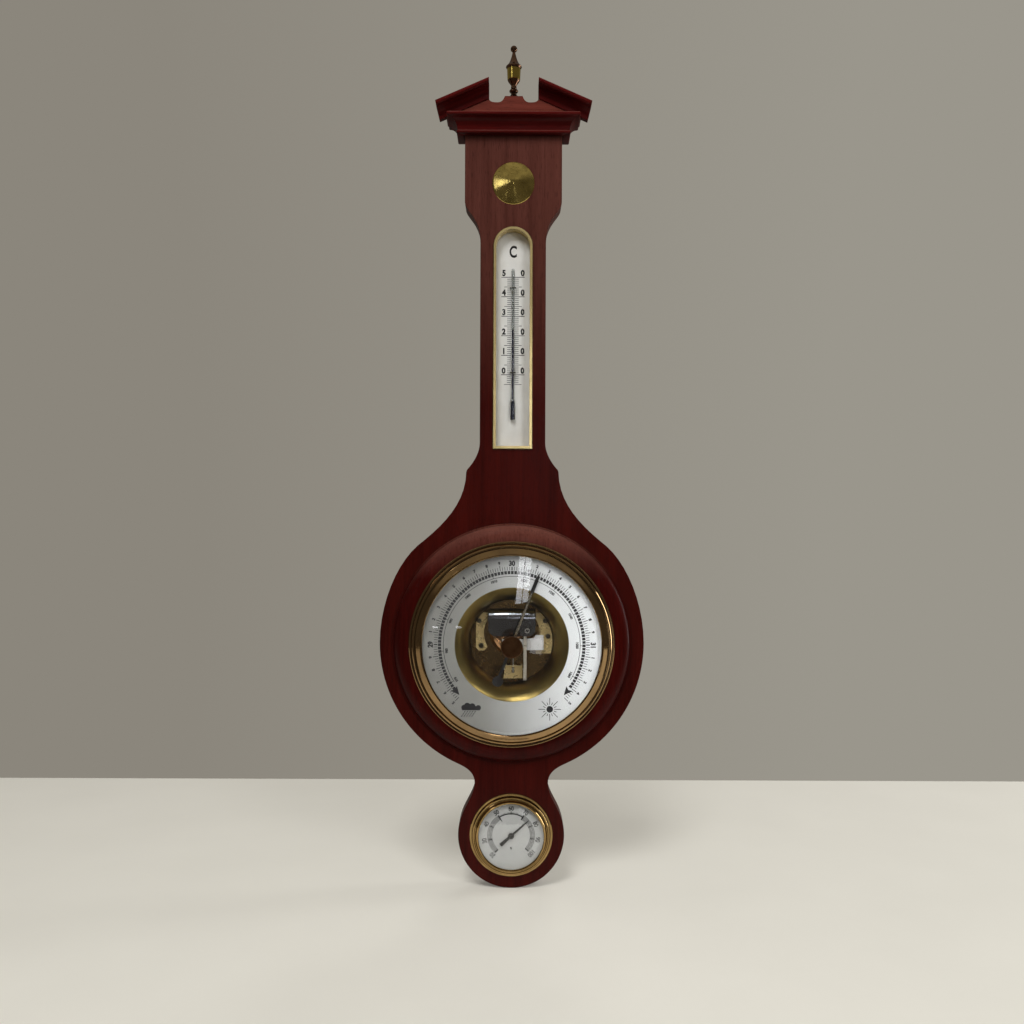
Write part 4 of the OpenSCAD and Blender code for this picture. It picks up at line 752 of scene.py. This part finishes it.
# %% Print the inches
sheet = bmesh.new()
for step in range(LAST_STEP + 1):
    inches = FIRST_INCH + step / STEPS_PER_INCH
    angle = at_inches(inches)
    whole, tenth = step % STEPS_PER_INCH == STEPS_PER_INCH // 2, step % 5 == 0
    tick(sheet, TICK_FOOT, LOW_TICK if whole or not tenth else HIGH_TICK, angle,
         WHOLE_WIDTH if whole else TENTH_WIDTH if tenth else FINE_WIDTH)
    if whole:
        figures(sheet, str(round(inches)), 4.4 * MM, on_ring(66.2 * MM, angle), angle, 0.9, BOLD)
    elif tenth:
        figures(sheet, str(round(inches * 10) % 10), 2.6 * MM, on_ring(66.9 * MM, angle),
                angle, 1.1, BOLD)
print("inches drawn, faces:", len(sheet.faces))

# %% Print the hectopascals
for pressure in range(961, 1076):
    angle = at_pressure(pressure)
    if BAND_FIRST < angle < BAND_LAST:
        arc_strip(sheet, BAND_INNER, BAND_OUTER, angle - BLACK_HALF, angle + BLACK_HALF, 1.0)
for side in (-1, 1):
    tip, barb = ARROW_TIP * side, ARROW_BARB * side
    shape(sheet, [on_ring(ARROW_MIDDLE, tip), on_ring(ARROW_INNER, barb),
                  on_ring(ARROW_MIDDLE, barb + ARROW_NOTCH * side),
                  on_ring(ARROW_OUTER, barb)][::side])
arc_strip(sheet, *THIN_LINE, -123, 121)
for pressure in range(970, 1061, 10):
    angle = at_pressure(pressure)
    tick(sheet, 55.6 * MM, 57.5 * MM, angle, 0.4 * MM)
    figures(sheet, str(pressure), 2.3 * MM, on_ring(53.2 * MM, angle), angle, 0.95, BOLD)
lay_print(sheet, "barometer_scale_print", barometer_at)

# %% [markdown]
# ## Fair and foul
# In place of words this dial has two small signs low on its face: a cloud with rain at the
# low end and a sun at the high end. The cloud's edge is the upper outline of four circles on
# a flat base. The sun is a disc with long and short rays by turns. Both are drawn in
# millimetres about their own middle.

# %% Print the cloud and its rain
PUFFS = [(-5.7, -0.6, 2.3), (-3.2, 0.6, 2.7), (1.0, 0.3, 2.5), (5.8, -0.7, 2.1)]
CLOUD_BASE, CLOUD_STEPS = -2.8, 48
CORNER, CORNER_BULGE = 0.9, 0.2
FIRST_DROP = (-5.2, -3.3)
DROP_GAP, ROW_SHIFT, ROW_GAP = 2.1, 1.15, 1.75
DROP = [(0, 0), (0.7, 0), (-0.1, -1.35), (-0.8, -1.35)]


def cloud_outline():
    left = min(x - r for x, y, r in PUFFS)
    right = max(x + r for x, y, r in PUFFS)
    points = []
    for i in range(CLOUD_STEPS + 1):
        x = left + (right - left) * (0.5 - 0.5 * math.cos(math.pi * i / CLOUD_STEPS))
        tops = [y + math.sqrt(max(0, r * r - (x - cx) ** 2)) for cx, y, r in PUFFS
                if abs(x - cx) <= r * 1.0001]
        points.append((x, max(tops)))
    points += [(right - CORNER_BULGE, CLOUD_BASE + CORNER), (right - CORNER, CLOUD_BASE),
               (left + CORNER, CLOUD_BASE), (left + CORNER_BULGE, CLOUD_BASE + CORNER)]
    return points


sheet = bmesh.new()
cloud_at = on_ring(60.2, -147)
shape(sheet, [(cloud_at + Vector(point)) * MM for point in reversed(cloud_outline())])
for row in range(3):
    for drop in range(5):
        top_left = cloud_at + Vector((FIRST_DROP[0] + drop * DROP_GAP - row * ROW_SHIFT,
                                      FIRST_DROP[1] - row * ROW_GAP))
        shape(sheet, [(top_left + Vector(point)) * MM for point in DROP])
print("cloud drawn, faces:", len(sheet.faces))

# %% Print the sun
SUN_RADIUS, RAYS, RAY_START, SHORT_RAY, LONG_RAY, RAY_HALF = 2.7, 16, 3.7, 5.9, 9.2, 0.26
sun_at = on_ring(60.8, 149.3)
shape(sheet, [(sun_at + on_ring(SUN_RADIUS, -a)) * MM for a in range(0, 360, 10)])
for ray in range(RAYS):
    angle = ray * 360 / RAYS
    side = on_ring(RAY_HALF, angle + 90)
    near, far = on_ring(RAY_START, angle), on_ring(SHORT_RAY if ray % 2 else LONG_RAY, angle)
    shape(sheet, [(sun_at + p) * MM for p in (near - side, near + side, far + side, far - side)])
lay_print(sheet, "weather_sign_print", barometer_at)

# %% [markdown]
# ## The thermometer's scale
# Degrees Celsius, from -5 to 50. The long marks pass behind the tube, and each ten is written
# with its two figures on either side of it.

# %% Print the thermometer's scale
ZERO_HEIGHT, LETTER_HEIGHT = -0.1758, -0.0734
PER_DEGREE = 1.624 * MM
TEN_HALF, FIVE_HALF, ONE_HALF = 9.7 * MM, 7.3 * MM, 4.8 * MM
LEFT_FIGURE, RIGHT_FIGURE, FIGURE_RISE = -7.6 * MM, 8.0 * MM, 3.5 * MM
sheet = bmesh.new()
for degree in range(-5, 51):
    ten, five = degree % 10 == 0, degree % 5 == 0
    half = TEN_HALF if ten else FIVE_HALF if five else ONE_HALF
    height = ZERO_HEIGHT + degree * PER_DEGREE - plate_at.z
    line = (0.55 if ten else 0.45) * MM
    low, high = height - line / 2, height + line / 2
    shape(sheet, [(-half, low), (half, low), (half, high), (-half, high)])
    if ten:
        for digit, x in ((str(degree // 10), LEFT_FIGURE), ("0", RIGHT_FIGURE)):
            figures(sheet, digit, 5.2 * MM, (x, height + FIGURE_RISE), 0, 0.9, BOLD)
figures(sheet, "C", 10.0 * MM, (0, LETTER_HEIGHT - plate_at.z), 0, 0.68, 0.03)
lay_print(sheet, "thermometer_scale_print", plate_at)

# %% [markdown]
# ## The hygrometer's scale
# Relative humidity from 20 to 100 per cent. Two ladders of fine lines cover the dry and the
# damp ends, and one heavy arc from 50 to 70 marks what suits a cabin and its furniture.

# %% Print the hygrometer's scale
HUMIDITY = [(20, -136.7), (30, -101.4), (40, -66), (50, -33), (60, 0), (70, 32.5), (80, 65),
            (90, 98.7), (100, 132)]
LADDER, LADDER_HALF = (15.7 * MM, 16.9 * MM, 18.1 * MM, 19.3 * MM), 0.14 * MM
HEAVY_ARC = (17.3 * MM, 18.2 * MM)


def at_humidity(value):
    """The angle of a value, read between the two nearest of the uneven tens."""
    for (v0, a0), (v1, a1) in zip(HUMIDITY, HUMIDITY[1:]):
        if v0 <= value <= v1:
            return a0 + (a1 - a0) * (value - v0) / (v1 - v0)


sheet = bmesh.new()
for first, last in ((20, 50), (70, 100)):
    for radius in LADDER:
        arc_strip(sheet, radius - LADDER_HALF, radius + LADDER_HALF, at_humidity(first),
                  at_humidity(last), 3.0)
    for value in range(first, last + 1):
        tick(sheet, LADDER[0], LADDER[-1], at_humidity(value),
             (1.0 if value % 10 == 0 else 0.3) * MM)
arc_strip(sheet, *HEAVY_ARC, at_humidity(50), at_humidity(70), 2.0)
for value in range(50, 71):
    tick(sheet, 18.0 * MM, 19.2 * MM, at_humidity(value), 0.32 * MM)
for value, inner in ((50, 13.6), (60, 17.0), (70, 15.0)):
    tick(sheet, inner * MM, 19.8 * MM, at_humidity(value), 0.7 * MM)
for value, angle in HUMIDITY:
    figures(sheet, str(value), 3.9 * MM, on_ring(22.2 * MM, angle), angle, 0.84, MEDIUM)
figures(sheet, "%", 2.0 * MM, (0, -10.4 * MM), 0, 1.0, MEDIUM)
lay_print(sheet, "hygrometer_scale_print", hygrometer_at)

# %% [markdown]
# ## The studio
# The foot of the case is just above a pale table, which ends some way behind it, in front of a
# plain grey wall. The table is lifted a little by a glow that only eyes, metal and glass see,
# so it stays pale and still takes the shadow of the case.

# %% Build the table
TABLE_GAP, TABLE_LIFT = 0.2 * MM, 0.18
LEFT, RIGHT, NEAR, FAR = -1.2, 1.2, -0.3, 0.314
table_data = bpy.data.meshes.new("table")
table_data.from_pydata([(LEFT, NEAR, 0), (RIGHT, NEAR, 0), (RIGHT, FAR, 0), (LEFT, FAR, 0)],
                       [], [(0, 1, 2, 3)])
table = bpy.data.objects.new("table", table_data)
table.location.z = board_low.z - TABLE_GAP
scene.collection.objects.link(table)
table_paint, tree, shader = start_material("table paint")
where = put(tree, "TexCoord").outputs["Object"]
mottle = put(tree, "TexNoise", {"Vector": where, "Scale": 9.0, "Detail": 5.0}).outputs["Fac"]
paint = blend_colours(tree, mottle, colour(226, 223, 213), colour(219, 216, 206))
tree.links.new(paint, shader.inputs["Base Color"])
shader.inputs["Roughness"].default_value = 0.6
path = put(tree, "LightPath").outputs
seen = sums(tree, "ADD", path["Is Camera Ray"], path["Is Glossy Ray"])
seen = sums(tree, "ADD", seen, path["Is Transmission Ray"])
lift = put(tree, "Emission",
           {"Color": paint, "Strength": sums(tree, "MULTIPLY", seen, TABLE_LIFT)})
both = put(tree, "AddShader", {0: shader.outputs[0], 1: lift.outputs[0]})
tree.links.new(both.outputs[0], tree.nodes["Material Output"].inputs["Surface"])
finish_with(table, table_paint)
print("table at z", table.location.z)

# %% [markdown]
# ## The wall and the room
# The wall is the world, a little lighter to the right than to the left. Brass looks like brass
# only when it has something dark to reflect, so every ray that doesn't come from the camera
# gets a room: dim on the viewer's side, paler towards the ceiling, and with the wall behind
# the case. Glass shows that wall as it is. Anything that mirrors it mirrors the part close
# behind the case, which is in its shade and darker.

# %% Build the world
WALL, LIT_WALL, SHADED_WALL = colour(139, 134, 124), colour(154, 150, 140), colour(104, 100, 93)
DIM_ROOM, CEILING = colour(82, 78, 72), colour(140, 136, 128)
world = bpy.data.worlds.new("room")
scene.world = world
world.use_nodes = True
tree = world.node_tree
heading = put(tree, "SeparateXYZ", {0: put(tree, "TexCoord").outputs["Generated"]}).outputs
path = put(tree, "LightPath").outputs
behind = span(tree, heading["Y"], 0.0, 0.6)
above = span(tree, heading["Z"], 0.42, 0.62)
dim_room = blend_colours(tree, above, DIM_ROOM, CEILING)
plain_wall = blend_colours(tree, span(tree, heading["X"], -0.3, 0.3), WALL, LIT_WALL)
wall = blend_colours(tree, path["Is Transmission Ray"], SHADED_WALL, plain_wall)
room_view = blend_colours(tree, behind, dim_room, wall)
room = tree.nodes["Background"]
tree.links.new(blend_colours(tree, path["Is Camera Ray"], room_view, plain_wall),
               room.inputs["Color"])
print("room:", len(tree.nodes), "nodes")

# %% [markdown]
# ## Lamps
# The key box hangs high in front and a little to the left, and a weaker, taller fill stands in
# front to the right. One box behind lights the back. Metal and glass don't show these three.
# The narrow box at the right stands level with the case, just behind its face, where only the
# outer flank of a bezel can mirror it, and there it draws a bright line.

# %% Hang the soft boxes
CASE_MIDDLE = Vector((0, 0, -0.28))


def soft_box(name, place, size, watts, mirrored=False):
    lamp = bpy.data.lights.new(name, "AREA")
    lamp.shape, lamp.size, lamp.size_y, lamp.energy = "RECTANGLE", size[0], size[1], watts
    holder = bpy.data.objects.new(name, lamp)
    scene.collection.objects.link(holder)
    holder.location = place
    aim = (CASE_MIDDLE - Vector(place)).to_track_quat("-Z", "Y")
    holder.rotation_euler = aim.to_euler()
    holder.visible_glossy = mirrored
    print(name, "soft box:", watts, "watts")


soft_box("key", (-0.3, -1.15, 1.0), (0.5, 0.8), 16)
soft_box("fill", (0.75, -1.3, 0.3), (0.4, 1.0), 8)
soft_box("side", (1.4, 0.3, -0.3), (0.3, 1.2), 8, mirrored=True)
soft_box("back", (0.5, 1.6, 0.7), (0.6, 0.6), 6)

# %% [markdown]
# ## Windows
# Polished brass and domed glass show the room, so the room needs something to show: windows far
# behind the viewer. Each is a grid of bright panes, three metres from the dial, at a bearing to
# the right of straight ahead and a rise above it. The eye doesn't see a window itself, only
# what glass and metal mirror of it.


# %% Put the windows in
WINDOW_DISTANCE = 3.0
BAR_SHARE = 0.14
DAYLIGHT = colour(250, 251, 255)
dial_place = Vector((0, 0, barometer_at.z))


def window(name, bearing, rise, size, strength, panes=(1, 1), lean=0.0):
    """Bearing, rise and lean are in degrees, and panes are counted across and up."""
    width, height = size
    sheet = bmesh.new()
    bar = BAR_SHARE * width / panes[0]
    for column in range(panes[0]):
        for row in range(panes[1]):
            left = -width / 2 + width * column / panes[0]
            low = -height / 2 + height * row / panes[1]
            right, top = left + width / panes[0] - bar, low + height / panes[1] - bar
            shape(sheet, [(left, low), (right, low), (right, top), (left, top)])
    data = bpy.data.meshes.new(name)
    sheet.to_mesh(data)
    sheet.free()
    piece = bpy.data.objects.new(name, data)
    scene.collection.objects.link(piece)
    side, up = math.radians(bearing), math.radians(rise)
    away = Vector((math.sin(side) * math.cos(up), -math.cos(side) * math.cos(up), math.sin(up)))
    turn = (-away).to_track_quat("Z", "Y").to_matrix().to_4x4()
    piece.matrix_world = (Matrix.Translation(dial_place + away * WINDOW_DISTANCE) @ turn
                          @ Matrix.Rotation(math.radians(lean), 4, "Z"))
    daylight = bpy.data.materials.new(name)
    daylight.use_nodes = True
    tree = daylight.node_tree
    tree.nodes.remove(tree.nodes["Principled BSDF"])
    glow = put(tree, "Emission", {"Color": DAYLIGHT, "Strength": strength})
    tree.links.new(glow.outputs[0], tree.nodes["Material Output"].inputs["Surface"])
    finish_with(piece, daylight)
    piece.visible_camera = False
    print(name, "panes:", len(data.polygons))


window("strip_window", 2.7, 8.4, (0.16, 0.62), 4.0, (2, 6), lean=5)
window("right_window", 5.4, -7.4, (0.16, 0.2), 1.3, (2, 2), lean=6)
window("left_window", -18.1, -3.2, (0.13, 0.035), 6.0, lean=-12)
window("left_small_window", -12.4, -3.2, (0.08, 0.03), 5.0, lean=-12)
window("tall_window", -35, 24, (0.25, 0.9), 3.0)
